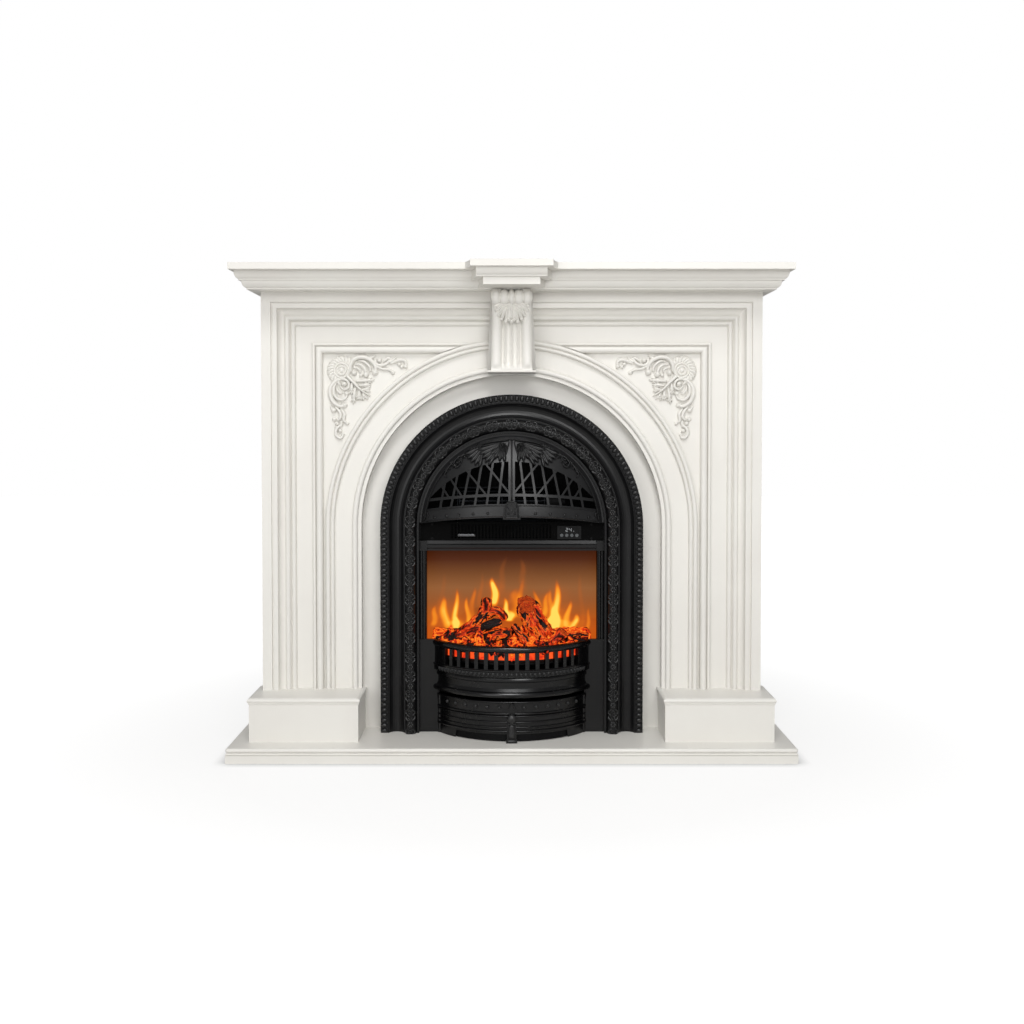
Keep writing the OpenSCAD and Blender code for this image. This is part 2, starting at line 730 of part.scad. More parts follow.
// Domed lattice casting, a shell of a sphere cut to the pattern
module hood() {
  color(iron) union() {
    intersection() {
      along_y(rim_y - hood_bulge - 5, rim_y) hood_pattern();
      translate([0, hood_ball_y, arch_z]) difference() {
        sphere(hood_ball, $fn = 200);
        sphere(hood_ball - hood_t, $fn = 200);
      }
    }
    along_y(rim_y - 1, cast_back) difference() {
      hood_area(mouth_r - seat_gap, 0);
      hood_area(hood_r - 5, -5);
      translate([-mouth_r, outlet_z]) square([2 * mouth_r, outlet_h + gap]);
    }
  }
}

// Medallion at the middle of the hood's lower band
module hood_boss() {
  y = rim_y - hood_bulge;
  color(iron) difference() {
    union() {
      along_y(y - 9, y + hood_t) union() {
        translate([-15, hood_crown - 3]) square([30, 24]);
        translate([0, hood_crown + 20]) circle(14);
        translate([-17.5, hood_crown - 3.5]) square([35, 6]);
      }
      along_y(y - 12, y - 9) leaf(0, hood_crown + 2, 25, 9, 90);
      along_y(y - 11.5, y - 9) leaf(0, hood_crown + 6, 19, 7, 130);
      along_y(y - 11.5, y - 9) leaf(0, hood_crown + 6, 19, 7, 50);
    }
    translate([0, hood_ball_y, arch_z]) sphere(hood_ball + seat_gap, $fn = 200);
  }
}

// Rivet heads along the hood's lower band
module hood_rivets() {
  color(iron) for (s = [-1, 1]) for (x = [48, 78, 107, 132, 157]) {
    z = hood_edge_z + sqrt(pow(hood_edge_r + 9, 2) - x * x);
    up = z - arch_z;
    out = sqrt(hood_ball * hood_ball - x * x - up * up);
    translate([0, hood_ball_y, arch_z]) rotate([0, acos(up / hood_ball), atan2(-out, s * x)])
      translate([0, 0, hood_ball + seat_gap]) cylinder(d1 = rivet_d, d2 = rivet_d * 0.55, h = 2, $fn = 32);
  }
}

module cheek(s) {
  x0 = cheek_gap / 2;
  color(iron) box(
    [min(s * x0, s * mouth_r), cheek_y, hearth_h], [max(s * x0, s * mouth_r), cast_back, cheek_top]);
}
module cheek_left() cheek(-1);
module cheek_right() cheek(1);

// A bowed casting from an outline of [radius, z] points, cut off at the cheek panels
module bowed(limit) {
  intersection() {
    translate([0, bow_y, 0]) rotate_extrude($fn = 180) children();
    box([-200, -300, 0], [200, limit, 400]);
  }
}

// Bowed front with fifteen windows, a round rim above and an egg band below
module fret() {
  r = fret_r;
  color(iron) difference() {
    bowed(cheek_y) polygon(concat(
      [[r - fret_t - 2, fret_z], [r - 3, fret_z], [r + 0.5, fret_z + 2], [r + 0.5, fret_z + 12],
       [r + 2, fret_z + 13], [r + 2, sill_z - 1.5], [r - 1, sill_z - 0.5],
       [r - 1, sill_z + window_h + 0.5], [r + 0.5, sill_z + window_h + 2]],
      arc(r - 3, cheek_top - 6, 6, -40, 90, 8), [[r - fret_t - 2, cheek_top]]));
    for (i = [0:fret_windows - 1]) translate([0, bow_y, sill_z])
      rotate((i - (fret_windows - 1) / 2) * fret_pitch)
        translate([-window_w / 2, -r - 5, 0]) cube([window_w, fret_t + 15, window_h]);
  }
}

// Stepped neck and projecting lip under the fret
module fret_ledge() {
  r = fret_r;
  color(iron) bowed(cheek_y) polygon(concat(
    [[r - 14, ledge_z], [r - 4, ledge_z]],
    arc(r - 4, ledge_z + 6, 6, 270, 450, 8),
    [[r - 5, ledge_z + 14], [r - 7, ledge_z + 18], [r - 7, ledge_z + 30], [r - 4.5, ledge_z + 32],
     [r - 4.5, ledge_z + 36], [r - 6, fret_z], [r - 14, fret_z]]));
}

// Bowed drawer front with a raised border, ribs, a row of rivets and corner feet
module ash_front() {
  r = drawer_r - 1.5;
  z = hearth_h;
  rib = 1.7;
  color(iron) union() {
    difference() {
      bowed(cheek_y - gap) polygon(concat([[r - 4, drawer_foot], [r, drawer_foot]],
        [for (k = [21.5, 29.5, 39.5, 52, 57]) each arc(r, z + k, rib, 270, 450, 6)],
        [[r, drawer_top - 5], [r + 1.5, drawer_top - 4], [r + 2, drawer_top - 2], [r + 1.5, drawer_top],
         [r - 4, drawer_top]]));
      box([-foot_x, -300, 0], [foot_x, 0, hearth_h + foot_h]);
    }
    for (s = [-1, 1]) for (i = [1:7]) translate([0, bow_y, drawer_top - 12])
      rotate(s * i * fret_pitch) translate([0, 0.6 - r, 0]) sphere(d = rivet_d, $fn = 32);
  }
}

// Leg with a paw at the foot and a knob, the pull of the drawer
module ash_handle() {
  y = bow_y - drawer_r - 0.2 - seat_gap;
  color(iron) union() {
    box([-leg_half + 1.5, y - 5, drawer_foot + 8], [leg_half - 1.5, y, hearth_h + 50]);
    box([-leg_half, y - 7, drawer_foot], [leg_half, y, drawer_foot + 8]);
    translate([0, y, hearth_h + 49]) rotate([90, 0, 0]) rotate_extrude($fn = 48)
      polygon(concat([[0, 0], [knob_r, 0]], arc(0, 3, knob_r, 0, 80, 8), [[0, 3 + knob_r * sin(80)]]));
    along_y(y - 4, y) leaf(0, hearth_h + 50, 30, 14, 90);
  }
}

// Shallow tray behind the drawer front
module ash_pan() {
  w = cheek_gap / 2 - 8;
  module plan(k) intersection() {
    translate([0, bow_y]) circle(drawer_r - 5.5 - seat_gap - k, $fn = 180);
    translate([k - w, -200]) square([2 * (w - k), 200 + face_y + 95 - k]);
  }
  color("#26282a") difference() {
    along_z(pan_floor, pan_floor + 36) plan(0);
    along_z(pan_floor + sheet_t, pan_floor + 40) plan(sheet_t);
  }
}

// Rail across the top of the fire window, with blocks at its ends
module lintel() {
  z = lintel_z;
  y = lintel_y;
  color(iron) union() {
    along_x(-mouth_r, mouth_r) polygon([
      [cast_back, z], [y + 2, z], [y + 2, z + 4], [y, z + 6], [y, z + 12],
      [y + 2, z + 14], [y + 4, outlet_z], [cast_back, outlet_z]]);
    for (s = [-1, 1]) translate([s * (mouth_r - 8), 0, 0])
      box([-8, y - 2, z], [8, y + 4, outlet_z]);
  }
}

// The two posts beside the fire window
module window_posts() {
  x0 = mouth_r - 14;
  x1 = x0 + post_w;
  color(iron) for (s = [-1, 1]) box(
    [min(s * x0, s * x1), lintel_y - 1, cheek_top], [max(s * x0, s * x1), lintel_y + 5, lintel_z]);
}

// Panel above the lintel with rows of holes and a cut-out for the control panel
module outlet_panel() {
  px = (grille_right - grille_left) / grille_cols;
  pz = (outlet_h - 8) / grille_rows;
  color(iron) along_y(outlet_y, outlet_y + 2) difference() {
    translate([3 - mouth_r, outlet_z]) square([2 * mouth_r - 6, outlet_h]);
    for (i = [0:grille_cols - 1]) for (j = [0:grille_rows - 1])
      translate([grille_left + (i + 0.5) * px, outlet_z + 4 + (j + 0.5) * pz])
        square(grille_hole, center = true);
    translate([control_x - control_w / 2 + 3, outlet_z + 5]) square([control_w - 6, control_h - 4]);
  }
}

// Small screws at the outlet panel's corners
module outlet_screws() {
  color("#3a3b3c") for (s = [-1, 1]) for (z = [outlet_z + 4.5, outlet_z + outlet_h - 4.5])
    translate([s * (mouth_r - 26), outlet_y, z]) rotate([90, 0, 0]) cylinder(d = 5, h = 1.6, $fn = 32);
}

// Plate that holds the display and the four buttons
module control_panel() {
  z = outlet_z + 3;
  color("#101112") along_y(outlet_y - 2, outlet_y) difference() {
    translate([control_x - control_w / 2, z]) square([control_w, control_h]);
    translate([control_x - control_w / 2 + 4, z + 13.5]) square([control_w - 8, control_h - 16]);
    for (i = [-1.5:1:1.5]) translate([control_x + i * button_pitch, button_z])
      circle(button_r + gap);
  }
}

// Display glass set in the control panel
module display() {
  z = outlet_z + 3;
  color("#08090a") box([control_x - control_w / 2 + 4, outlet_y - 1.6, z + 13.5],
    [control_x + control_w / 2 - 4, outlet_y, z + control_h - 2.5]);
}

// Push button with a stem that reaches the board
module button(i) {
  x = control_x + (i - 2.5) * button_pitch;
  color("#6d7072") translate([x, outlet_y, button_z]) rotate([90, 0, 0]) union() {
    translate([0, 0, -1]) cylinder(r = button_r, h = 4.2, $fn = 48);
    translate([0, 0, -4]) cylinder(r = button_r * 0.5, h = 4, $fn = 32);
  }
}
module button_1() button(1);
module button_2() button(2);
module button_3() button(3);
module button_4() button(4);

// Circuit board behind the control panel, on four spacers
module control_board() {
  y = outlet_y + 2;
  color("#2f6b3a") union() {
    box([control_x - control_w / 2 - 1, y + 3.5, outlet_z + 3],
      [control_x + control_w / 2 + 1, y + 5.1, outlet_z + 31]);
    for (s = [-1, 1]) for (z = [outlet_z + 4.5, outlet_z + 29.5])
      translate([control_x + s * (control_w / 2 - 1), y, z]) rotate([-90, 0, 0])
        cylinder(r = 1.2, h = 4, $fn = 24);
  }
}

// Heating element behind the grille: a frame with a row of fins, standing on the deck
module heater_element() {
  x0 = grille_left;
  x1 = grille_right;
  y0 = outlet_y + 8;
  z0 = deck_z + sheet_t;
  fins = 26;
  color("#9aa0a6") union() {
    difference() {
      box([x0, y0, z0], [x1, y0 + 20, outlet_z + outlet_h - 1]);
      box([x0 + 6, y0 - 1, outlet_z + 3], [x1 - 6, y0 + 21, outlet_z + outlet_h - 5]);
    }
    for (i = [1:fins]) translate([x0 + 6 + (x1 - x0 - 12) * i / (fins + 1), y0 + 2, outlet_z + 2])
      translate([-0.6, 0, 0]) cube([1.2, 16, outlet_h - 6]);
  }
}

// Side plates and curved guide of the cross-flow fan
module fan_housing() {
  r = fan_r + 5;
  z0 = deck_z + sheet_t;
  color("#8f9498") union() {
    along_x(fan_x0 - 4, fan_x1 + 4) {
      intersection() {
        translate([fan_y, fan_z]) difference() {
          circle(r + 2);
          circle(r);
        }
        translate([fan_y - 4, z0]) square([r + 8, 200]);
      }
      translate([fan_y + r, z0]) square([2, fan_z - z0]);
    }
    for (x = [fan_x0 - 4, fan_x1 + 2]) along_x(x, x + 2) difference() {
      translate([fan_y - r, z0]) square([2 * r + 2, fan_z - z0 + r + 2]);
      translate([fan_y, fan_z]) circle(3 + gap, $fn = 48);
    }
  }
}

// Rotor of the cross-flow fan: two discs, a middle disc, blades and a shaft
module fan_rotor() {
  color("#5a5e61") translate([0, fan_y, fan_z]) rotate([0, 90, 0]) union() {
    for (x = [fan_x0, -21, fan_x1 - 2]) translate([0, 0, x]) cylinder(r = fan_r, h = 2);
    for (a = [0:fan_blades - 1]) rotate(a * 360 / fan_blades) translate([fan_r - 7, -0.6, fan_x0])
      cube([6, 1.2, fan_x1 - fan_x0]);
    translate([0, 0, fan_x0 - 3.5]) cylinder(r = 3, h = fan_x1 - fan_x0 + 12, $fn = 48);
  }
}

// Motor on the fan's right-hand side plate
module fan_motor() {
  color("#4a4d50") translate([fan_x1 + 4, fan_y, fan_z]) rotate([0, 90, 0]) difference() {
    union() {
      cylinder(r = 21, h = 30);
      cylinder(r = 12, h = 38);
    }
    translate([0, 0, -1]) cylinder(r = 3 + gap, h = 8, $fn = 48);
  }
}

// Steel casing behind the cast frame, open at the front: two sides, floor, top and back, with
// thin seams between the sheets
module casing() {
  rear = casing_back - sheet_t - seat_gap;
  color("#3c3f42") {
    for (s = [-1, 1]) box(
      [min(s * casing_half, s * inner_half), flange_y, hearth_h],
      [max(s * casing_half, s * inner_half), rear, casing_top]);
    for (z = [hearth_h, casing_top - sheet_t])
      box([seat_gap - inner_half, flange_y, z], [inner_half - seat_gap, rear, z + sheet_t]);
    difference() {
      box([-casing_half, casing_back - sheet_t, hearth_h], [casing_half, casing_back, casing_top]);
      translate([gland_x, casing_back - sheet_t - 1, gland_z]) rotate([-90, 0, 0])
        cylinder(r = gland_r, h = sheet_t + 2, $fn = 48);
    }
  }
}

// Flange round the casing's mouth, the back of the cast frame lies against it
module casing_flange() {
  color("#3c3f42") along_y(flange_y, casing_front) difference() {
    arch_outline(niche_r - 2, hearth_h);
    translate([-casing_half, hearth_h - 1]) square([2 * casing_half, casing_top - hearth_h + 1]);
  }
}

// Deck between the fire chamber and the heater
module casing_deck() {
  color("#3c3f42") box(
    [-inner_half, casing_front, deck_z], [inner_half, casing_back - sheet_t, deck_z + sheet_t]);
}

// Plate that carries the log bed and reaches into the bow of the fret
module bed_plate() {
  z = hearth_h + bed_z;
  color("#2a2c2e") along_z(z, z + 3) union() {
    intersection() {
      translate([0, bow_y]) circle(fret_r - fret_t - 3, $fn = 180);
      translate([1 - cheek_gap / 2, -200]) square([cheek_gap - 2, 200 + casing_front]);
    }
    translate([-inner_half, casing_front - 1]) square([2 * inner_half, casing_d - sheet_t + 1]);
  }
}

// One log: a tapering trunk from p to q with round ends
module log_piece(p, q, r0, r1) {
  d = q - p;
  l = norm(d);
  translate(p) rotate([0, acos(d[2] / l), atan2(d[1], d[0])]) union() {
    cylinder(r1 = r0, r2 = r1, h = l, $fn = 40);
    sphere(r0, $fn = 40);
    translate([0, 0, l]) sphere(r1, $fn = 40);
  }
}

// Top line of the ember bed from front to back, as [y, z]
function ember_line() = concat(
  [[ember_front, bed_top + 17]],
  [for (p = [[-60, 27], [-30, 34], [10, 44], [40, 50]]) [face_y + p[0], bed_top + p[1]]],
  [[ember_back, bed_top + 50]]);

// A log's end: shares of the window's half width and height, with its place behind the pilaster face
function log_at(across, y, up) = [across * mouth_r, y, up * fire_h];

// Five logs that stand in the embers, each cut flat where it meets them
module logs() {
  color("#54210f") difference() {
    translate([0, face_y, bed_top]) {
      log_piece(log_at(-0.642, 8, 0.203), log_at(-0.232, 14, 0.48), 13, 17);
      log_piece(log_at(-0.232, 14, 0.406), log_at(-0.095, 12, 0.342), 13, 10);
      log_piece(log_at(0.347, 6, 0.212), log_at(0.2, 16, 0.462), 24, 19);
      log_piece(log_at(0.379, -34, 0.152), log_at(0.568, -22, 0.314), 10, 13);
      log_piece(log_at(0.589, 22, 0.249), log_at(0.789, 32, 0.24), 10, 9);
    }
    along_x(-200, 200) polygon(concat(
      [[ember_front, bed_top - 5]], ember_line(), [[ember_back, bed_top - 5]]));
  }
}

// Glowing bed of embers, hollow underneath
module ember_bed() {
  color("#c8401a") difference() {
    intersection() {
      along_x(-ember_half, ember_half) polygon(concat(
        [[ember_front, bed_top]], ember_line(), [[ember_back, bed_top]]));
      along_z(bed_top - 1, bed_top + 60) union() {
        intersection() {
          translate([0, bow_y]) circle(fret_r - fret_t - 3.5, $fn = 180);
          translate([4 - cheek_gap / 2, -200]) square([cheek_gap - 8, 200 + face_y + 25]);
        }
        translate([-ember_half, face_y + 22]) square([2 * ember_half, 38]);
      }
    }
    box([-110, face_y - 60, bed_top - 2], [110, face_y + 40, bed_top + 14]);
  }
}

// Lamp board under the ember bed
module led_board() {
  color("#d8d8d0") union() {
    box([-100, face_y - 30, bed_top], [100, face_y - 10, bed_top + 1.6]);
    for (i = [-4:4]) translate([i * 22 - 2.5, face_y - 22.5, bed_top]) cube([5, 5, 3.5]);
  }
}

// Translucent screen on which the flames show
module flame_screen() {
  color("#c97a35") box([6 - inner_half, screen_y, bed_top], [inner_half - 6, screen_y + 3, deck_z]);
}

// Polished plates on the walls of the fire chamber
module side_mirrors() {
  color("#7a4a2a") for (s = [-1, 1])
    box([min(s * inner_half, s * (inner_half - 3)), casing_front, bed_top],
      [max(s * inner_half, s * (inner_half - 3)), screen_y - 2, deck_z]);
}

// Turning rod with bright flags that throws moving light on the screen
module flame_spindle() {
  flag_w = 12;
  pitch = (2 * spindle_half - flag_w - 6) / (flag_count - 1);
  color("#c0c4c8") translate([0, spindle_y, spindle_z]) rotate([0, 90, 0]) union() {
    translate([0, 0, -spindle_half - 3]) cylinder(r = spindle_r, h = 2 * spindle_half + 10, $fn = 48);
    for (i = [0:flag_count - 1]) translate([0, 0, i * pitch - spindle_half]) rotate(i * 67.5)
      translate([-flag_reach, -0.6, 0]) cube([2 * flag_reach, 1.2, flag_w]);
  }
}

// Brackets that carry the flame spindle, the right one with its motor
module spindle_mounts() {
  x = spindle_half + gap;
  color("#74797d") difference() {
    union() {
      for (s = [-1, 1]) box([min(s * x, s * (x + 3)), spindle_y - 12, bed_top],
        [max(s * x, s * (x + 3)), spindle_y + 12, spindle_z + 12]);
      translate([x + 3, spindle_y, spindle_z]) rotate([0, 90, 0]) cylinder(r = 19, h = 16);
    }
    translate([-x - 4, spindle_y, spindle_z]) rotate([0, 90, 0])
      cylinder(r = spindle_r + gap, h = 2 * x + 12, $fn = 48);
  }
}

// Gland in the casing's back where the supply cable would enter
module cable_gland() {
  color("#17181a") translate([gland_x, casing_back - sheet_t, gland_z]) rotate([-90, 0, 0]) difference() {
    union() {
      translate([0, 0, -3]) cylinder(r = gland_r + 3, h = 3);
      cylinder(r = gland_r - seat_gap, h = sheet_t + 1);
      translate([0, 0, sheet_t]) cylinder(r = gland_r + 3, h = 7);
    }
    translate([0, 0, -4]) cylinder(r = cable_d / 2 + 0.5, h = 16);
  }
}

hearth_slab();
hearth_base();
plinth_block_left();
plinth_block_right();
facade_board();
pilaster_left();
pilaster_right();
frieze_moulding();
spandrel_moulding_left();
spandrel_moulding_right();
arch_moulding_outer();
arch_moulding_inner();
corner_ornament_left();
corner_ornament_right();
keystone();
cornice_band();
cornice_ovolo();
shelf();
niche_panel();
side_board_left();
side_board_right();
rear_rail();
cast_frame();
hood();
hood_boss();
hood_rivets();
cheek_left();
cheek_right();
fret();
fret_ledge();
ash_front();
ash_handle();
ash_pan();
lintel();
window_posts();
outlet_panel();
outlet_screws();
control_panel();
display();
button_1();
button_2();
button_3();
button_4();
control_board();
heater_element();
fan_housing();
fan_rotor();
fan_motor();
casing();
casing_flange();
casing_deck();
bed_plate();
ember_bed();
logs();
led_board();
flame_screen();
side_mirrors();
flame_spindle();
spindle_mounts();
cable_gland();
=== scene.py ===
# Looks of the electric fireplace: paint, cast iron, carving, fire and the plain studio round it.
import json
import math
import bmesh
import bpy
import numpy as np
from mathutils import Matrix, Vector, noise


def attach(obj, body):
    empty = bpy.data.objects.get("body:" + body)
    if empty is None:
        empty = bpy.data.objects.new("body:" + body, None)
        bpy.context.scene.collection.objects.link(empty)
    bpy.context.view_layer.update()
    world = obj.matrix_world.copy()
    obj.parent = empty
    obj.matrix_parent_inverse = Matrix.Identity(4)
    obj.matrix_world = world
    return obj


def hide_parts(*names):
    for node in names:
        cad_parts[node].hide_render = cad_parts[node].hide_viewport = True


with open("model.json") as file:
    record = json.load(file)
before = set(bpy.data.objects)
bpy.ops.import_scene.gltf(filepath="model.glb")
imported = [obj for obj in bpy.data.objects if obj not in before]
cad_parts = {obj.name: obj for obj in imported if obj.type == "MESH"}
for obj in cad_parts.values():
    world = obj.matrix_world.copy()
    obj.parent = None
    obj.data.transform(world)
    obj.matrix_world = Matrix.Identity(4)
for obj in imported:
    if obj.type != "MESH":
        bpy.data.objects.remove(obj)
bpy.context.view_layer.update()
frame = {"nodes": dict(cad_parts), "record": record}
nodes = frame["nodes"]
MM = 0.001

# Places on the object, in millimetres, as the solids have them.
FACE_Y = -45.0
PANEL_Y = -21.0
ARCH_Z = 455.0
HEARTH_Z = 29.5
BOW_Y = 52.0
BED_Z = 187.0
ROLL_MID, ROLL_R, ROLL_Y = 207.0, 10.5, -48.5
FRAME_R, BEAD_BAND_W, BEAD_HALF, CAST_FRONT_Y = 269.0, 15.0, 6.0, -45.8
HOOD_BALL, HOOD_BALL_Y = 330.5, 232.5
HOOD_EDGE_R, HOOD_EDGE_Z = 1067.9, -591.4
FRET_R, EGG_Z = 182.0, 165.4
ROSETTE_X, ROSETTE_Z = 349.5, 774.0
HOOD_RIM_R, MEDALLION_Y, GRILLE_Y, DISPLAY_Y = 178.5, -107.0, -29.0, -30.6
BODY_TOP, KEY_Z0, KEY_Z1, KEY_FOOT, KEY_TOP, KEY_BASE = 932.0, 768.0, 778.5, 42.0, 39.0, 49.4
KEY_ROLL_R, KEY_ROLL_Y, KEY_ROLL_Z, KEY_FLARE = 15.5, -98.5, 916.5, 1.18


def colour(hex_value):
    """The linear colour of an sRGB hex value, with full alpha."""
    parts = [int(hex_value[i:i + 2], 16) / 255 for i in (1, 3, 5)]
    return tuple(c / 12.92 if c <= 0.04045 else ((c + 0.055) / 1.055) ** 2.4 for c in parts) + (1.0,)


def add(tree, kind, inputs=(), **settings):
    """A node of that kind with its settings, and each input set to a value or joined to a socket."""
    made = tree.nodes.new(kind)
    for key, value in settings.items():
        setattr(made, key, value)
    for key, value in dict(inputs).items():
        if isinstance(value, bpy.types.NodeSocket):
            tree.links.new(value, made.inputs[key])
        else:
            made.inputs[key].default_value = value
    return made


def new_material(name):
    """An empty material, its tree and its output node."""
    made = bpy.data.materials.new(name)
    made.use_nodes = True
    made.node_tree.nodes.clear()
    return made, made.node_tree, made.node_tree.nodes.new("ShaderNodeOutputMaterial")


def ramp(tree, factor, stops):
    """A colour ramp with (place, hex colour) stops."""
    made = add(tree, "ShaderNodeValToRGB", {"Fac": factor})
    band = made.color_ramp
    while len(band.elements) < len(stops):
        band.elements.new(0.5)
    for element, (place, hex_value) in zip(band.elements, stops):
        element.position, element.color = place, colour(hex_value)
    return made.outputs["Color"]


def finish(name, tones, grain_mm, grain_depth, wear_mm, roughness, metallic=0.0, ior=1.5, gloss=0.5,
           edge=0.3, run=1.0):
    """A coating or casting: broad tone changes at wear_mm, and a grain at grain_mm, grain_depth mm deep.

    The tones run evenly from edge to 1 - edge. Both patterns are drawn out along X where run is below 1.
    """
    stops = list(zip(np.linspace(edge, 1 - edge, len(tones)), tones))
    made, tree, out = new_material(name)
    place = add(tree, "ShaderNodeTexCoord").outputs["Object"]
    place = add(tree, "ShaderNodeVectorMath", {0: place, 1: (run, 1.0, 1.0)},
                operation="MULTIPLY").outputs["Vector"]
    broad = add(tree, "ShaderNodeTexNoise", {"Vector": place, "Scale": 1000 / wear_mm, "Detail": 4.0,
                                             "Roughness": 0.6})
    fine = add(tree, "ShaderNodeTexNoise", {"Vector": place, "Scale": 1000 / grain_mm, "Detail": 3.0,
                                            "Roughness": 0.55})
    rough = add(tree, "ShaderNodeMapRange", {"Value": broad.outputs["Fac"], "To Min": roughness - 0.06,
                                             "To Max": roughness + 0.06})
    bump = add(tree, "ShaderNodeBump", {"Height": fine.outputs["Fac"], "Distance": grain_depth * MM,
                                        "Strength": 1.0})
    shader = add(tree, "ShaderNodeBsdfPrincipled", {
        "Base Color": ramp(tree, broad.outputs["Fac"], stops), "Roughness": rough.outputs["Result"],
        "Normal": bump.outputs["Normal"], "Metallic": metallic, "IOR": ior, "Specular IOR Level": gloss})
    tree.links.new(shader.outputs["BSDF"], out.inputs["Surface"])
    return made


# Satin off-white paint on moulded fibreboard: a soft sheen, faint roller texture and barely uneven tone.
satin_paint = finish("satin_offwhite_paint", ("#e3e0da", "#e8e6e0"), 2.5, 0.012, 180, 0.36)
# Blacked cast iron: matt, slightly grainy from the sand mould, with greyer rubbed patches.
blacked_iron = finish("blacked_cast_iron", ("#0b0b0c", "#121213"), 1.2, 0.04, 60, 0.33, gloss=0.3, edge=0.25)
# Raised ornament of the castings: rubbed glossier than the ground round it, and a little brighter, partly
# from rubbing and partly as a painted highlight on the relief.
rubbed_highlight_iron = finish("rubbed_highlight_cast_iron", ("#111112", "#1a1a1b"), 1.2, 0.03, 40, 0.40, gloss=0.55, edge=0.25)
# The hood is cast the same way, with a slight sheen of graphite; its greyer tone is painted light, as the
# hood faces up towards the lamps.
hood_iron_painted_light = finish("graphite_iron_painted_light", ("#121213", "#1a1a1b"), 1.2, 0.04, 60, 0.37, gloss=0.42,
                       edge=0.25)
# The bowed front is freshly blacked: deep black with a soft polish, so that its ribs catch thin highlights.
polished_iron = finish("polished_black_iron", ("#040405", "#080809"), 1.2, 0.02, 60, 0.26, gloss=0.4,
                       edge=0.25)
# The bar over the fire is blacked matt, so that its steps show only as thin lines.
matt_iron = finish("matt_black_iron", ("#0a0a0b", "#0f0f10"), 1.2, 0.03, 60, 0.38, gloss=0.3)
# Heat-proof paint of the panel behind the hood: black, made dead black and almost without shine as painted
# shade from the hood over it.
black_with_painted_shade = finish("black_paint_with_painted_shade", ("#040404", "#060606"), 1.0, 0.02, 80, 0.6, gloss=0.05)
# Powder-coated sheet steel: even black with a very fine orange-peel.
coated_sheet = finish("powder_coated_sheet", ("#060607", "#0a0a0b"), 1.2, 0.02, 90, 0.5, gloss=0.12)
# Bare softwood: matt and pale brown, with darker late wood in lines along the rail.
bare_softwood = finish("bare_softwood", ("#c9ab78", "#bb9a66", "#93713f"), 1.5, 0.12, 7, 0.7, run=0.05,
                       edge=0.38)
# Sheet steel of the fan and brackets: dark and a little glossy.
dark_steel = finish("dark_sheet_steel", ("#1d1e20", "#26282b"), 0.8, 0.02, 120, 0.42, metallic=1.0)
# Fins of the heating element: nearly black and matt.
near_black_fins = finish("near_black_fins", ("#050505", "#080808"), 0.8, 0.02, 60, 0.7, gloss=0.1)
# Rolled aluminium of the spindle's flags: bright and even.
rolled_aluminium = finish("rolled_aluminium", ("#c9cbcd", "#d4d6d8"), 0.8, 0.01, 90, 0.28, metallic=1.0)
# Moulded ABS of the control panel: fine spark texture, nearly black.
moulded_abs = finish("moulded_abs", ("#08090a", "#0c0d0e"), 0.6, 0.03, 30, 0.4, gloss=0.2)
# Grey silicone rubber of the buttons: matt and soft looking.
button_rubber = finish("button_rubber", ("#56595b", "#616466"), 0.5, 0.02, 12, 0.5, ior=1.41)
# Green circuit board with solder mask: smooth, semi-gloss.
solder_mask = finish("solder_mask", ("#1d5b31", "#24693a"), 0.8, 0.02, 15, 0.3)
# Polished tinted plate beside the fire: mirrors the glow.
tinted_plate = finish("tinted_plate", ("#4a2a16", "#5a341c"), 2.0, 0.005, 150, 0.12, metallic=1.0)
# Smoked acrylic of the display window: clear gloss over black.
smoked_acrylic = finish("smoked_acrylic", ("#08090a", "#0b0c0d"), 5.0, 0.002, 40, 0.08, ior=1.49)
# Black nylon of the cable gland: satin.
black_nylon = finish("black_nylon", ("#151617", "#1a1b1c"), 0.7, 0.03, 20, 0.45, ior=1.53)


def glowing(name, size_mm, stops, grain=None):
    """Charred resin lit from within: patches of char, brightest at their edges; grain names an attribute."""
    made, tree, out = new_material(name)
    if grain:
        place = add(tree, "ShaderNodeAttribute", attribute_name=grain).outputs["Vector"]
    else:
        place = add(tree, "ShaderNodeTexCoord").outputs["Object"]
    patches = add(tree, "ShaderNodeTexNoise", {
        "Vector": place, "Scale": 1000 / size_mm, "Detail": 5.0, "Roughness": 0.58, "Distortion": 0.7})
    cells = add(tree, "ShaderNodeTexVoronoi", {"Vector": place, "Scale": 1700 / size_mm},
                feature="DISTANCE_TO_EDGE")
    crack = add(tree, "ShaderNodeMapRange", {"Value": cells.outputs["Distance"], "From Max": 0.12,
                                             "To Min": 0.05, "To Max": 0.0})
    char = add(tree, "ShaderNodeAttribute", attribute_name="char").outputs["Fac"]
    heat = add(tree, "ShaderNodeMath", {0: patches.outputs["Fac"], 1: crack.outputs["Result"]},
               operation="ADD")
    heat = add(tree, "ShaderNodeMath", {0: heat.outputs[0], 1: char}, operation="SUBTRACT")
    crust = ramp(tree, heat.outputs[0], [(0.36, "#1a1312"), (0.46, "#0d0706"), (0.6, "#200a05")])
    bump = add(tree, "ShaderNodeBump", {"Height": patches.outputs["Fac"], "Distance": 2.5 * MM,
                                        "Strength": 0.8})
    shader = add(tree, "ShaderNodeBsdfPrincipled", {
        "Base Color": crust, "Roughness": 0.55, "Normal": bump.outputs["Normal"], "IOR": 1.5,
        "Specular IOR Level": 0.12,
        "Emission Color": ramp(tree, heat.outputs[0], stops), "Emission Strength": 1.0})
    tree.links.new(shader.outputs["BSDF"], out.inputs["Surface"])
    return made


# Painted resin logs lit from beneath: charcoal patches on red bark, with bright lines where the char ends.
lit_bark = glowing("lit_resin_bark", 15, [
    (0.40, "#030101"), (0.445, "#2c0803"), (0.468, "#9c2008"), (0.484, "#ff8e2c"), (0.50, "#ec4a12"),
    (0.53, "#dc3c10"), (0.57, "#a0240a"), (0.61, "#4a0e04"), (0.66, "#140402")], grain="grain")
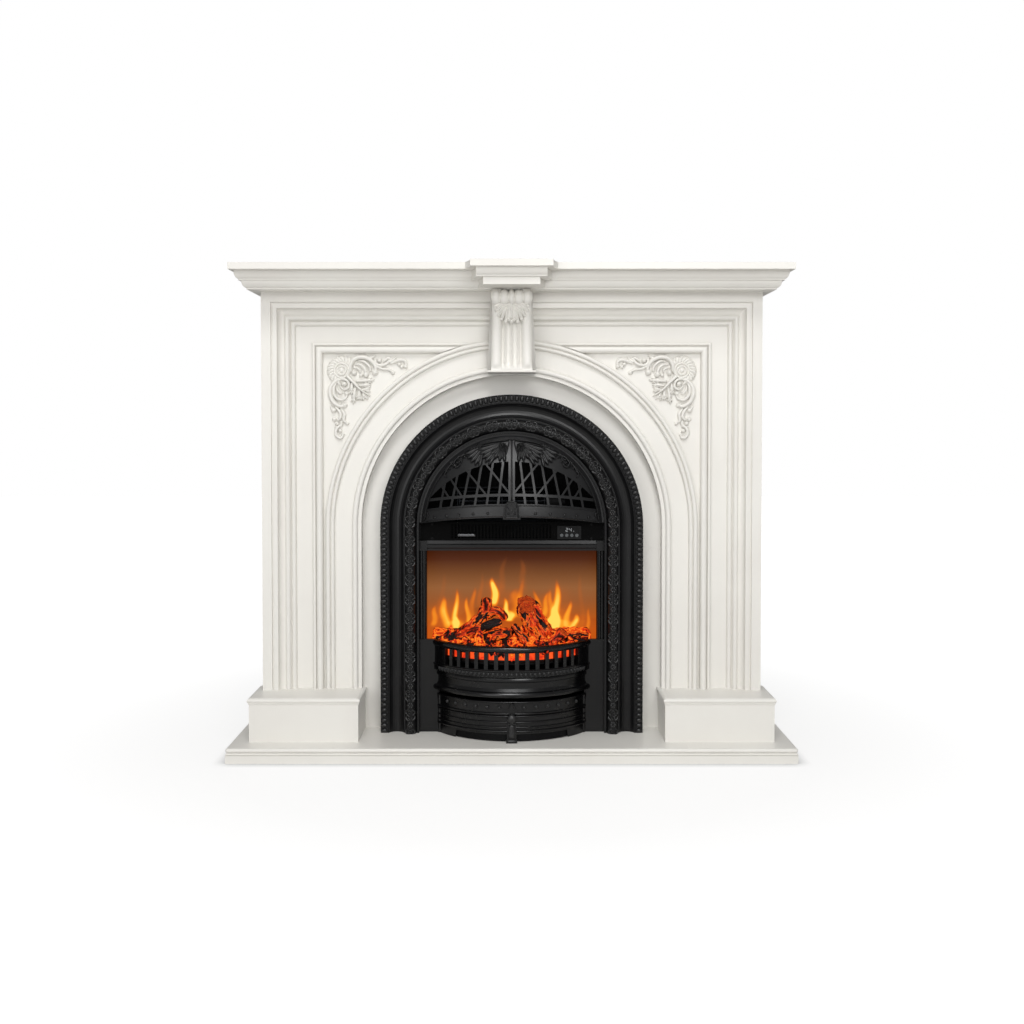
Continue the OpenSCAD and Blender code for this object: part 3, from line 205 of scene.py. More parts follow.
# Ember moulding: translucent resin that glows red and orange under a broken black scale.
lit_embers = glowing("lit_resin_embers", 24, [
    (0.42, "#060201"), (0.462, "#68140a"), (0.495, "#e2360e"), (0.53, "#ff5614"), (0.55, "#ffa634"),
    (0.57, "#ff701c"), (0.61, "#e64812"), (0.68, "#a8260c")])
# Skirt of the ember moulding: translucent resin over lamps, an almost even red-orange seen through the fret.
lit_skirt = glowing("lit_resin_skirt", 30, [
    (0.30, "#b01f08"), (0.42, "#e63412"), (0.50, "#ff4a1c"), (0.58, "#ff5f26"), (0.70, "#ef4216")])
# White printed board of the lamps: even and slightly glossy.
printed_board = finish("white_printed_board", ("#d4d4cc", "#dcdcd4"), 0.8, 0.01, 20, 0.35)
# Satin nickel of the bare plate on the grille: softly bright, with a very fine brushing.
satin_nickel = finish("satin_nickel", ("#5c5d5f", "#6e6f71"), 0.6, 0.02, 15, 0.38, metallic=1.0)

finish_of_slot = {"paint": satin_paint, "iron": blacked_iron, "sheet": coated_sheet,
                  "rail_wood": bare_softwood, "pan_steel": dark_steel, "fins": near_black_fins,
                  "flags": rolled_aluminium, "panel_plastic": moulded_abs, "button_plastic": button_rubber,
                  "board": solder_mask, "mirror": tinted_plate, "display_glass": smoked_acrylic,
                  "gland": black_nylon, "motor": coated_sheet, "lamp_board": printed_board,
                  "embers": lit_embers, "bark": lit_bark, "screen": smoked_acrylic}
finish_of_node = {
    "lintel": matt_iron, "outlet_panel": black_with_painted_shade, "hood": hood_iron_painted_light, "hood_boss": hood_iron_painted_light,
    "fret": polished_iron, "fret_ledge": polished_iron, "ash_handle": polished_iron,
}
for sub in frame["record"]["subparts"]:
    node_mesh = nodes[sub["node"]].data
    node_mesh.materials.clear()
    node_mesh.materials.append(finish_of_node.get(sub["node"], finish_of_slot[sub["material_slot"]]))


def smooth(t):
    """Smooth step from 0 to 1."""
    t = np.clip(t, 0.0, 1.0)
    return t * t * (3 - 2 * t)


def curve(points, steps=6):
    """A smooth line through the points, with that many steps between two of them."""
    pts = np.array(points, float)
    ends = np.vstack([2 * pts[0] - pts[1], pts, 2 * pts[-1] - pts[-2]])
    t = np.linspace(0, 1, steps, endpoint=False)[:, None]
    made = []
    for a, b, c, d in zip(ends, ends[1:], ends[2:], ends[3:]):
        made.append(b + 0.5 * t * (c - a + t * (2 * a - 5 * b + 4 * c - d + t * (3 * b - a - 3 * c + d))))
    return np.vstack(made + [pts[-1:]])


def spread(values, count):
    """Values spaced evenly over that many places."""
    return np.interp(np.linspace(0, 1, count), np.linspace(0, 1, len(values)), values)


class Carving:
    """Raised strokes, leaves, shells and knobs in millimetres, laid by place(along, across, height)."""

    SUNK = -1.2

    def __init__(self, place, fat=1.0, tall=1.0):
        """Place lays the forms on a surface; fat and tall widen and raise every stroke and knob."""
        self.place, self.fat, self.tall = place, fat, tall
        self.points, self.faces, self.count = [], [], 0

    def solid(self, grid, wrap):
        """A closed form from rows of points: each row a ring if wrap, else an open line with a sunk edge."""
        grid = np.array(grid, float)
        if not wrap:
            rows, columns = grid.shape[:2]
            framed = np.empty((rows + 2, columns + 2, 3))
            framed[1:-1, 1:-1] = grid
            framed[0], framed[-1] = framed[1], framed[-2]
            framed[:, 0], framed[:, -1] = framed[:, 1], framed[:, -2]
            for side in (framed[0], framed[-1], framed[:, 0], framed[:, -1]):
                side[:, 2] = self.SUNK
            grid = framed
        rows, columns = grid.shape[:2]
        start = self.count
        self.points.append(grid.reshape(-1, 3))
        self.count += rows * columns
        wide = columns if wrap else columns - 1
        at = [[start + r * columns + c % columns for c in range(columns + 1)] for r in range(rows)]
        self.faces += [(at[r][c], at[r][c + 1], at[r + 1][c + 1], at[r + 1][c])
                       for r in range(rows - 1) for c in range(wide)]
        if wrap:
            rims = [[at[0][c] for c in range(columns)][::-1], [at[-1][c] for c in range(columns)]]
        else:
            rims = [[at[0][c] for c in range(columns)][::-1] + [at[r][0] for r in range(1, rows)]
                    + [at[-1][c] for c in range(1, columns)]
                    + [at[r][columns - 1] for r in range(rows - 2, 0, -1)]]
        for rim in rims:
            middle = grid.reshape(-1, 3)[[i - start for i in rim]].mean(axis=0)
            self.points.append(middle[None])
            self.faces += [(rim[i], rim[(i + 1) % len(rim)], self.count) for i in range(len(rim))]
            self.count += 1

    def stroke(self, points, widths, heights, steps=6, base=0.0):
        """A rounded ridge along a line, with its widths and heights spread along it."""
        line = curve(points, steps)
        ahead = np.gradient(line, axis=0)
        ahead /= np.linalg.norm(ahead, axis=1)[:, None] + 1e-9
        side = np.stack([-ahead[:, 1], ahead[:, 0]], axis=1)
        wide, high = spread(widths, len(line)) * self.fat / 2, spread(heights, len(line)) * self.tall
        base = base * self.tall
        turn = np.linspace(0, math.pi, 7)
        rings = []
        for k in turn:
            rings.append(np.column_stack([line + side * (wide * math.cos(k))[:, None],
                                          base + high * math.sin(k)]))
        rings.append(np.column_stack([line - side * (wide * 0.8)[:, None], np.full(len(line), self.SUNK)]))
        rings.append(np.column_stack([line + side * (wide * 0.8)[:, None], np.full(len(line), self.SUNK)]))
        self.solid(np.stack(rings, axis=1), True)

    def knob(self, a, b, r, h, base=0.0):
        """A rounded boss."""
        r, h, base = r * (1 + self.fat) / 2, h * self.tall, base * self.tall
        turn = np.linspace(0, 2 * math.pi, 14, endpoint=False)
        rows = [(r * 0.9, self.SUNK), (r, base)]
        rows += [(r * math.cos(k), base + h * math.sin(k)) for k in (0.4, 0.8, 1.2, 1.5)]
        self.solid([[(a + q * math.cos(t), b + q * math.sin(t), z) for t in turn] for q, z in rows], True)

    def shell(self, root, reach, start, end, ribs, h, rib_h, scallop):
        """A fan of ribs about its root from one angle to another, with a scalloped edge."""
        h, rib_h = h * self.tall, rib_h * self.tall
        turn = np.linspace(0, 1, ribs * 6 + 1)
        angle = np.radians(start + (end - start) * turn)
        ridge = np.abs(np.sin(math.pi * ribs * turn))
        rows = []
        for t in np.linspace(0.12, 1, 9):
            far = reach * t * (1 + scallop * (ridge - 1) * t)
            high = h * (0.4 + 0.6 * t ** 0.7) + rib_h * ridge * t - h * 0.5 * max(0, t - 0.9) / 0.1
            x, y = root[0] + far * np.cos(angle), root[1] + far * np.sin(angle)
            rows.append(np.column_stack([x, y, high]))
        self.solid(rows, False)

    def leaf(self, root, tip, width, h, lobes, bend):
        """An acanthus leaf: a midrib with curled lobes on both sides that grow towards its middle."""
        root, tip = np.array(root, float), np.array(tip, float)
        run = tip - root
        side = np.array([-run[1], run[0]]) / np.linalg.norm(run)

        def spine(t):
            """A point of the midrib, from its root at 0 to its tip at 1."""
            return root + run * t + side * bend * math.sin(math.pi * t)

        for k in range(lobes):
            t = 0.08 + 0.7 * k / max(1, lobes - 0.4)
            far = width / 2 * (math.sin(math.pi * (0.25 + 0.55 * (k + 0.5) / lobes)))
            for s in (1, -1):
                out = spine(t + 0.24) + side * s * far
                self.stroke([spine(t), (spine(t + 0.1) + out) / 2 + side * s * far * 0.18, out],
                            [width * 0.1, width * 0.26, width * 0.08], [h * 0.6, h * 0.9, h * 0.3], 4)
        self.stroke([spine(0), spine(0.35), spine(0.7), tip],
                    [width * 0.14, width * 0.16, width * 0.13, width * 0.03],
                    [h * 0.9, h * 1.1, h, h * 0.4], 4)

    def form(self):
        """The collected forms, laid on the surface: points in millimetres, and faces."""
        flat = np.vstack(self.points)
        return np.column_stack(self.place(flat[:, 0], flat[:, 1], flat[:, 2])), self.faces

    def mesh(self, name):
        """The collected forms as one mesh."""
        return solid_mesh(name, *self.form())


def solid_mesh(name, points, faces):
    """A smooth-shaded mesh of points in millimetres, with its normals turned outwards."""
    mesh = bpy.data.meshes.new(name)
    mesh.from_pydata([tuple(p) for p in np.array(points) * MM], [], faces)
    work = bmesh.new()
    work.from_mesh(mesh)
    bmesh.ops.recalc_face_normals(work, faces=work.faces)
    for face in work.faces:
        face.smooth = True
    work.to_mesh(mesh)
    work.free()
    return mesh


def joined(parts):
    """Several lists of points, faces and values at the points as one of each."""
    faces, count = [], 0
    for part in parts:
        faces += [tuple(i + count for i in face) for face in part[1]]
        count += len(part[0])
    kept = [k for k in range(len(parts[0])) if k != 1]
    columns = [np.concatenate([np.array(part[k], float) for part in parts]) for k in kept]
    return columns[0], faces, *columns[1:]


def rim_of(rows, columns):
    """The numbers of a grid's edge points, in order round it."""
    at = np.arange(rows * columns).reshape(rows, columns)
    return np.concatenate([at[0], at[1:, -1], at[-1, -2::-1], at[-2:0:-1, 0]])


def walled(grid, rings):
    """A grid of points, a wall from its rim through each ring of points, and a flat face across the last."""
    rows, columns = grid.shape[:2]
    at = np.arange(rows * columns).reshape(rows, columns).tolist()
    faces = [(at[r][c], at[r][c + 1], at[r + 1][c + 1], at[r + 1][c])
             for r in range(rows - 1) for c in range(columns - 1)]
    points, upper = [grid.reshape(-1, 3)], rim_of(rows, columns).tolist()
    for number, ring in enumerate(rings):
        start = rows * columns + number * len(ring)
        lower = list(range(start, start + len(ring)))
        faces += zip(upper, lower, lower[1:] + lower[:1], upper[1:] + upper[:1])
        points.append(ring)
        upper = lower
    return np.vstack(points), faces + [tuple(upper)]


def piece(name, mesh, material, body="fireplace", node=None):
    """An object of that mesh that rides on a body, and stands for a node if one is named."""
    made = bpy.data.objects.new(name, mesh)
    bpy.context.collection.objects.link(made)
    if material:
        mesh.materials.clear()
        mesh.materials.append(material)
    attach(made, body)
    if node:
        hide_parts(node)
    return made


def node_tree(name, sockets):
    """An empty geometry tree with named inputs, and its input and output nodes."""
    tree = bpy.data.node_groups.new(name, "GeometryNodeTree")
    for socket, kind in sockets.items():
        tree.interface.new_socket(socket, in_out="INPUT", socket_type="NodeSocket" + kind)
    tree.interface.new_socket("Geometry", in_out="OUTPUT", socket_type="NodeSocketGeometry")
    return tree, tree.nodes.new("NodeGroupInput").outputs, tree.nodes.new("NodeGroupOutput")


def grown(name, mesh, tree, values):
    """The mesh that the tree grows on a start mesh, with the tree's inputs set by their identifiers."""
    host = bpy.data.objects.new(name + "_host", mesh)
    bpy.context.collection.objects.link(host)
    growth = host.modifiers.new("growth", "NODES")
    growth.node_group = tree
    for item in tree.interface.items_tree:
        if item.in_out == "INPUT" and item.name in values:
            growth[item.identifier] = values[item.name]
    bpy.context.view_layer.update()
    graph = bpy.context.evaluated_depsgraph_get()
    made = bpy.data.meshes.new_from_object(host.evaluated_get(graph), depsgraph=graph)
    made.name = name
    bpy.data.objects.remove(host)
    return made


def end_tree(tree, given, result, instances):
    """Makes a tree's instances real, gives them its finish and puts them out."""
    real = add(tree, "GeometryNodeRealizeInstances", {"Geometry": instances})
    finished = add(tree, "GeometryNodeSetMaterial", {
        "Geometry": real.outputs["Geometry"], "Material": given["Finish"]})
    tree.links.new(finished.outputs["Geometry"], result.inputs["Geometry"])


def row_tree(pivot):
    """A tree that sets a unit evenly along a line, turned with it about one axis."""
    tree, given, result = node_tree("row_about_" + pivot.lower(), {
        "Line": "Geometry", "Count": "Int", "Unit": "Object", "Finish": "Material"})
    line = add(tree, "GeometryNodeMeshToCurve", {"Mesh": given["Line"]})
    spots = add(tree, "GeometryNodeCurveToPoints", {"Curve": line.outputs["Curve"], "Count": given["Count"]},
                mode="COUNT")
    turned = add(tree, "FunctionNodeAlignRotationToVector", {"Vector": spots.outputs["Tangent"]},
                 axis="X", pivot_axis=pivot)
    unit = add(tree, "GeometryNodeObjectInfo", {"Object": given["Unit"], "As Instance": True})
    copies = add(tree, "GeometryNodeInstanceOnPoints", {
        "Points": spots.outputs["Points"], "Instance": unit.outputs["Geometry"],
        "Rotation": turned.outputs["Rotation"]})
    end_tree(tree, given, result, copies.outputs["Instances"])
    return tree


row_trees = {"Y": row_tree("Y"), "Z": row_tree("Z")}


def row(name, line, count, unit_mesh, pivot, material, body="fireplace"):
    """Copies of a unit along a line of points in millimetres: the unit's X runs along it."""
    unit = bpy.data.objects.new(name + "_unit", unit_mesh)
    path = bpy.data.meshes.new(name + "_line")
    steps = [(i, i + 1) for i in range(len(line) - 1)]
    path.from_pydata([tuple(p * MM for p in q) for q in line], steps, [])
    mesh = grown(name, path, row_trees[pivot], {"Count": count, "Unit": unit, "Finish": material})
    bpy.data.objects.remove(unit)
    return piece(name, mesh, None, body)


def arch_line(radius, y, trim=0.0):
    """Points up the left leg, over the arch and down the right leg, trimmed at both ends."""
    low = HEARTH_Z + trim
    leg = ARCH_Z - low
    total = 2 * leg + math.pi * radius
    made = []
    for s in np.linspace(0, total, 600):
        if s < leg:
            made.append((-radius, y, low + s))
        elif s > total - leg:
            made.append((radius, y, low + total - s))
        else:
            k = (s - leg) / radius
            made.append((-radius * math.cos(k), y, ARCH_Z + radius * math.sin(k)))
    return made


def on_roll(r):
    """Places a unit's carving on a round bar of radius r along X, with its front towards -Y."""
    return lambda a, b, h: (a, -(r + h) * np.cos(b / r), (r + h) * np.sin(b / r))


# Rosettes and curled leaves of the cast roll: a unit of a rosette and its leaves is about 40 mm long.
unit = Carving(on_roll(ROLL_R), 1.15, 1.6)
unit.knob(0, 0, 2.0, 3.0)
for k in range(6):
    turn = math.radians(90 + 60 * k)
    unit.knob(4.0 * math.cos(turn), 4.0 * math.sin(turn), 2.6, 1.7)
for s in (1, -1):
    unit.stroke([(8.5 * s, 3), (11 * s, 9), (16 * s, 10), (19 * s, 5), (16.5 * s, 1.5)], [2, 4, 3.4, 2.6, 2],
                [1, 2, 1.8, 1.5, 1.2], 4)
    unit.stroke([(8.5 * s, -2), (12 * s, -8), (17 * s, -9), (19.4 * s, -4)], [2, 4, 3, 1.4],
                [1, 2, 1.6, 0.8], 4)
    unit.stroke([(10 * s, 1), (13 * s, 3.5), (13.5 * s, 6)], [2.4, 2.2, 1], [1.4, 1.6, 0.8], 3)
    unit.stroke([(10 * s, -1), (14 * s, -2.5), (16 * s, -5)], [2.4, 2.2, 1], [1.4, 1.6, 0.8], 3)
    unit.knob(16.4 * s, 2.2, 1.9, 1.8)
ROLL_LENGTH = 2 * (ARCH_Z - HEARTH_Z) + math.pi * ROLL_MID
ROLL_UNITS = 38
pitch = ROLL_LENGTH / ROLL_UNITS
row("roll_flowers", arch_line(ROLL_MID, ROLL_Y, pitch / 2), ROLL_UNITS, unit.mesh("roll_unit"), "Y",
    rubbed_highlight_iron)

# Border of the cast frame: long rounded beads set across the band, with dark gaps between them.
unit = Carving(lambda a, b, h: (a, -h, b))
unit.stroke([(0, -BEAD_HALF), (0, -BEAD_HALF * 0.6), (0, 0), (0, BEAD_HALF * 0.6), (0, BEAD_HALF)],
            [4.5, 8.0, 9.2, 8.0, 4.5], [2.0, 4.6, 5.4, 4.6, 2.0], 3)
BEADS = 157
BEAD_MID = FRAME_R - 1.6 - BEAD_HALF
pitch = (2 * (ARCH_Z - HEARTH_Z) + math.pi * BEAD_MID) / BEADS
row("border_beads", arch_line(BEAD_MID, CAST_FRONT_Y, pitch / 2), BEADS, unit.mesh("bead"), "Y", rubbed_highlight_iron)
for name, radius, wide in (("border_rim", FRAME_R - 0.9, 1.4),
                           ("border_edge", FRAME_R - BEAD_BAND_W - 0.8, 1.6)):
    fillet = Carving(lambda a, b, h: (a, CAST_FRONT_Y - h, b))
    path = arch_line(radius, 0)
    fillet.stroke([(x, z) for x, y, z in path[::6] + path[-1:]], [wide], [1.4], 2)
    piece(name, fillet.mesh(name), blacked_iron)


# Scrolls, tendrils and lobes of a corner ornament as (line, widths, heights), in millimetres from the
# rosette: along the top, across the corner and down the side.
CORNER_STROKES = [
    ([(14, -7), (18, 0), (18.5, 9.4), (24, 21), (35.5, 26.8), (48.6, 26.4), (61.5, 19.6), (69, 9.4),
      (70, -1)],
     [3, 6, 7, 7.5, 8, 8, 7.5, 7, 6], [3, 6, 7, 7, 7, 7, 6.5, 6, 5]),
    ([(32, 19), (44, 19), (53, 13), (58.5, 5), (58, -2)], [2, 5, 5.5, 5, 4], [3, 5, 5.5, 5, 4]),
    ([(27, 12), (37, 12), (45, 7), (49, 0), (49, -6)], [2, 5, 6, 6, 5], [3, 5, 5.5, 5.5, 5]),
    ([(24, 5), (31, 5), (37, 1), (38, -5)], [2, 4.5, 5, 3], [3, 4.5, 5, 3]),
    ([(58, 25), (64, 27), (69, 31)], [6, 5, 1.5], [5, 4.5, 2]),
    ([(69, 22), (71, 14.5), (79, 10.6), (90, 12.5), (98, 19.5), (104, 26)],
     [4, 5, 5.5, 6, 5.5, 3], [4, 5, 5.5, 5.5, 5, 3]),
    ([(86, 17), (90, 22), (97, 25.5), (101, 21)], [3, 5.5, 5.5, 4], [3, 4.5, 4.5, 3.5]),
    ([(99, 17), (106, 21), (112, 29)], [5.5, 5, 1.6], [5, 4.5, 2]),
    ([(100, 14), (112, 19), (122, 22), (131, 18.5), (133, 10)], [4, 6, 6.5, 6, 4], [4, 5, 5.5, 5, 4]),
    ([(71, 9), (84, 3), (96, 2), (104, -2.6)], [5, 5, 4.5, 4], [5, 4.6, 4.2, 4]),
    ([(11, -11), (27, -27), (41, -41), (59, -53)], [7, 5, 4, 1.6], [7, 7.6, 7, 3]),
    ([(-8, -21), (3.6, -17.6), (13.5, -24), (14, -35), (4, -39), (-3.5, -31)],
     [4, 5, 5, 5, 4, 3], [5, 6, 6, 6, 5, 4]),
    ([(-8, -18), (-20.5, -31), (-24, -47), (-17.5, -64), (-5, -73), (4, -73)],
     [5, 7.5, 8, 8, 7, 6], [5, 7, 7, 7, 6, 5]),
    ([(-11, -24), (-16, -36), (-15, -50), (-5, -60), (6, -58), (11, -51)],
     [3, 5.5, 6, 6, 5.5, 4], [3, 5.5, 6, 6, 5, 4]),
    ([(-10, -31), (-9, -40), (-3, -47), (1, -46)], [2, 5, 5, 3.4], [3, 5, 5, 3.6]),
    ([(-19, -80), (-22, -75), (-24, -71)], [5, 4, 1.6], [4.4, 4, 2]),
    ([(-13, -75), (-5, -84), (-2, -95), (-8, -103)], [4, 6, 6, 4], [4, 5.6, 5.4, 4]),
    ([(-2, -78), (5, -90), (3.5, -102), (9.5, -108)], [4, 6, 5.5, 3.4], [4, 5.4, 5, 3.4]),
    ([(-1, -104), (-2.5, -114), (-15.5, -117)], [5, 5.5, 2.4], [4.6, 4.8, 2.4]),
    ([(-4, -112), (-12, -123), (-11, -134), (-2.5, -139), (2.4, -133)],
     [4, 6, 6.4, 6, 3.6], [4, 5.4, 5.4, 5, 3.6])]
# The ornament's round buds as (along, up, radius, height).
CORNER_BUDS = [(68.5, -4.0, 6.0, 6.5), (25.4, -5.1, 5.2, 6.5), (50, -8.5, 5.6, 6), (39.5, -10, 3.8, 4.5),
               (77.6, 20.6, 4.8, 6), (131.5, 8.0, 4.2, 5), (118.2, 13.0, 4.0, 4.6), (123.0, 7.0, 3.6, 4.2),
               (105.5, -4.5, 4.0, 4.6), (5.6, -28, 5.0, 6.6), (6.2, -71.4, 4.8, 5.4), (9.8, -47.4, 4.6, 5.2),
               (-16.7, -82, 5.0, 5.8), (-15.6, -100.4, 4.4, 4.8), (-10.5, -109, 4.0, 4.6),
               (11, -109, 3.4, 4), (1.6, -131.6, 3.4, 4.2), (-3.6, -124, 4.0, 4.6)]


def corner_carving(s):
    """A corner's rosette with a crest, C-scrolls, tendrils and a large leaf; s is 1 left and -1 right."""
    work = Carving(lambda a, b, h: (s * (a - ROSETTE_X), PANEL_Y - h, b + ROSETTE_Z), 1.3, 1.6)
    work.knob(0, 0, 13.5, 1.6, 1.4)
    work.knob(0, 0, 4.4, 3.0, 2.8)
    for far, wide, h in ((8.8, 4.0, 5.2), (14.8, 4.6, 4.8)):
        ring = [(far * math.cos(k), far * math.sin(k)) for k in np.linspace(0, 2 * math.pi, 31)]
        work.stroke(ring, [wide], [h], 2)
    for k in range(13):
        turn = math.radians(46 + 17.0 * k)
        arms = [(far * math.cos(turn + bend), far * math.sin(turn + bend))
                for far, bend in ((16.5, -0.12), (21.0, 0.0), (26.0, 0.10), (30.0, 0.30))]
        work.stroke(arms, [4.4, 6.4, 5.6, 2.6], [4.0, 4.8, 4.2, 2.6], 3)
        for far, aside in ((20.5, 0.14), (25.5, 0.13), (23.0, -0.12)):
            lobe = [((far + out) * math.cos(turn + swing), (far + out) * math.sin(turn + swing))
                    for out, swing in ((0, 0), (2.2, aside * 0.8), (4.6, aside * 1.2))]
            work.stroke(lobe, [2.6, 2.8, 1.4], [4.0, 4.6, 2.6], 3)
    for line, widths, heights in CORNER_STROKES:
        work.stroke(line, widths, heights)
    for along, up, radius, high in CORNER_BUDS:
        work.knob(along, up, radius, high)
    # Leaflets of the large leaf across the corner, as (tip, root, width), with small lobes on both sides.
    for tip, root, wide in (((67, -19.5), (30, -22), 9), ((60, -29), (36, -31), 9),
                            ((57, -38.5), (42, -40), 8), ((20, -50), (21, -26), 9),
                            ((23, -69), (28, -36), 9), ((36, -61), (36, -42), 9),
                            ((47.5, -58), (44, -47), 7)):
        tip, root = np.array(tip), np.array(root)
        work.stroke([root, (tip + root) / 2, tip], [wide * 0.45, wide * 0.75, 2.4], [4.4, 6.4, 3.0], 5)
        run = (tip - root) / math.dist(tip, root)
        for far in (0.4, 0.66):
            foot = root + (tip - root) * far
            for turn in (1, -1):
                across = np.array([-run[1], run[0]]) * turn
                work.stroke([foot, foot + run * 3.6 + across * 3.6, foot + run * 7.6 + across * 4.8],
                            [3.0, 3.2, 1.4], [3.6, 4.6, 2.2], 3)
    return work


for side, s in (("left", 1), ("right", -1)):
    name = "corner_carving_" + side
    piece(name, corner_carving(s).mesh(name), satin_paint, node="corner_ornament_" + side)


def hood_surface(a, b, h):
    """Places carving on the front of the domed hood."""
    out = np.sqrt(np.maximum((HOOD_BALL + h) ** 2 - a ** 2 - (b - ARCH_Z) ** 2, 1.0))
    return a, HOOD_BALL_Y - out, b


# Relief of the hood: two shells with a volute beside the post, an outer shell and leaf scrolls.
VOLUTE_X, VOLUTE_Z = 18, 617
relief = Carving(hood_surface, 1.3, 2.5)
for s in (1, -1):
    def arms(points):
        """The points on this side of the post."""
        return [(s * x, z) for x, z in points]

    for root, reach, start, end, ribs, high, scallop in (
            ((17, 623), 33, -104, -28, 4, (1.7, 1.5), 0.17), ((15, 628), 57, -60, -12, 5, (1.3, 1.4), 0.15),
            ((56, 621), 44, -84, -18, 5, (1.5, 1.4), 0.17)):
        start, end = (start, end) if s > 0 else (180 - start, 180 - end)
        relief.shell(arms([root])[0], reach, start, end, ribs, *high, scallop)
    for r, h in ((8.0, 2.6), (5.4, 3.0), (2.8, 3.4)):
        ring = [(s * VOLUTE_X + r * math.cos(k), VOLUTE_Z + r * math.sin(k))
                for k in np.linspace(0, 2 * math.pi, 11)]
        relief.stroke(ring, [1.5], [h], 3)
    relief.knob(s * VOLUTE_X, VOLUTE_Z, 1.6, 3.6)
    relief.stroke(arms([(6, 631), (30, 629.5), (50, 626), (72, 618.5)]), [1.2, 2.2, 2.2, 1.2],
                  [1.4, 2, 2, 1.4])
    relief.stroke(arms([(5, 628), (9, 612), (13, 600)]), [1.6, 2.2, 1.6], [1.5, 2, 1.5])
    for k in range(4):
        relief.leaf((s * (60 + 11 * k), 620 - 5.5 * k), (s * (76 + 12 * k), 612 - 9.0 * k), 11, 2.0, 3,
                    2.0 * s)
    relief.stroke(arms([(97, 602), (110, 596), (118, 585), (113, 577), (106, 581), (109, 588)]),
                  [2, 3.4, 3.6, 3.2, 2.6, 2], [1.6, 2.6, 2.8, 2.4, 2, 1.6])
    relief.stroke(arms([(118, 590), (128, 577), (137, 562), (133, 556)]), [2, 3.4, 3, 2], [1.6, 2.4, 2, 1.6])
    relief.leaf((s * 120, 590), (s * 140, 563), 10, 1.8, 3, -2.0 * s)
    relief.leaf((s * 100, 596), (s * 122, 574), 12, 1.8, 3, -2.0 * s)
arc = np.radians(np.linspace(4, 176, 50))
relief.stroke([(HOOD_RIM_R * math.cos(k), ARCH_Z + HOOD_RIM_R * math.sin(k)) for k in arc], [2.2], [1.4], 2)
relief.stroke([(0, 509), (0, 560), (0, 610), (0, 632)], [3, 2.6, 2.6, 3], [1.6], 4)


# Half width of the hood's lower band, and the middle of the coils at its ends.
BAND_HALF, COIL_X, COIL_Z = 174.0, 176.5, 478.0


def band_line(up, x):
    """A place on the hood's lower band, that far up from its edge."""
    return x, HOOD_EDGE_Z + math.sqrt((HOOD_EDGE_R + up) ** 2 - x * x)


for up in (2.4, 24.0):
    half = BAND_HALF + up / 8
    relief.stroke([band_line(up, x) for x in np.linspace(-half, half, 30)], [1.8], [0.9], 2)
for s in (1, -1):
    coil = zip(np.linspace(6.5, 2.4, 12), np.linspace(-1.4, 5.2, 12))
    coil = [(s * (COIL_X - r * math.cos(k)), COIL_Z + r * math.sin(k)) for r, k in coil]
    relief.stroke(coil, [2.0, 1.4], [1.0], 3)
piece("hood_relief", relief.mesh("hood_relief"), hood_iron_painted_light)

# Round rivet heads along the hood's lower band.
heads = Carving(hood_surface)
for s in (1, -1):
    for x in (48, 78, 107, 132, 157):
        heads.knob(*band_line(9.0, s * x), 3.1, 2.8)
piece("rivet_heads", heads.mesh("rivet_heads"), hood_iron_painted_light, node="hood_rivets")


def upright(name, outline, z0, z1, material, node):
    """Bars with an outline of (x, y) points, mirrored to both sides, that stand in for a node."""
    made = []
    for side in (1, -1):
        ends = [[(side * a, b, z) for a, b in outline] for z in (z0, z1)]
        n = len(outline)
        faces = [(i, (i + 1) % n, n + (i + 1) % n, n + i) for i in range(n)]
        faces += [tuple(range(n)), tuple(range(2 * n - 1, n - 1, -1))]
        made.append((ends[0] + ends[1], faces))
    points, faces = joined(made)
    mesh = solid_mesh(name, points, faces)
    mesh.shade_flat()
    piece(name, mesh, material, node=node)


# Posts beside the fire window: a round bead between two grooves, with a thin fillet at the outer edge.
POST_FOOT, POST_TOP = 221.0, 403.4
bead_arc = [(180.4 - 3.1 * math.cos(k), -31.0 - 2.8 * math.sin(k)) for k in np.linspace(0, math.pi, 9)]
outline = [(176.0, -28.2), (176.0, -33.4), (177.0, -33.4)] + bead_arc + [
    (183.8, -30.0), (184.8, -30.0), (184.8, -33.6), (187.0, -33.6), (187.0, -28.2)]
upright("moulded_posts", outline, POST_FOOT, POST_TOP, polished_iron, "window_posts")

# Medallion in the middle of the hood's band: a raised border with a three-leaved spray in it.
medallion = Carving(lambda a, b, h: (a, MEDALLION_Y - h, b), 1.0, 1.3)
medallion.stroke([(-12.6, 477.5), (-12.4, 490), (-10.6, 501), (-5.6, 507), (0, 508.6), (5.6, 507),
                  (10.6, 501), (12.4, 490), (12.6, 477.5)], [2.6], [2.0], 4)
medallion.stroke([(-14.6, 477), (14.6, 477)], [3.0], [2.0], 6)
for tip, wide in (((-8.2, 499), 5.0), ((8.2, 499), 5.0), ((0, 504), 6.0)):
    medallion.stroke([(0, 481), (tip[0] * 0.75, 489), tip], [2.0, wide, 2.0], [1.6, 3.4, 1.8], 5)
for x, z in ((-6.4, 484.5), (6.4, 484.5), (0, 481.5)):
    medallion.knob(x, z, 2.4, 2.4)
piece("medallion_carving", medallion.mesh("medallion_carving"), hood_iron_painted_light)

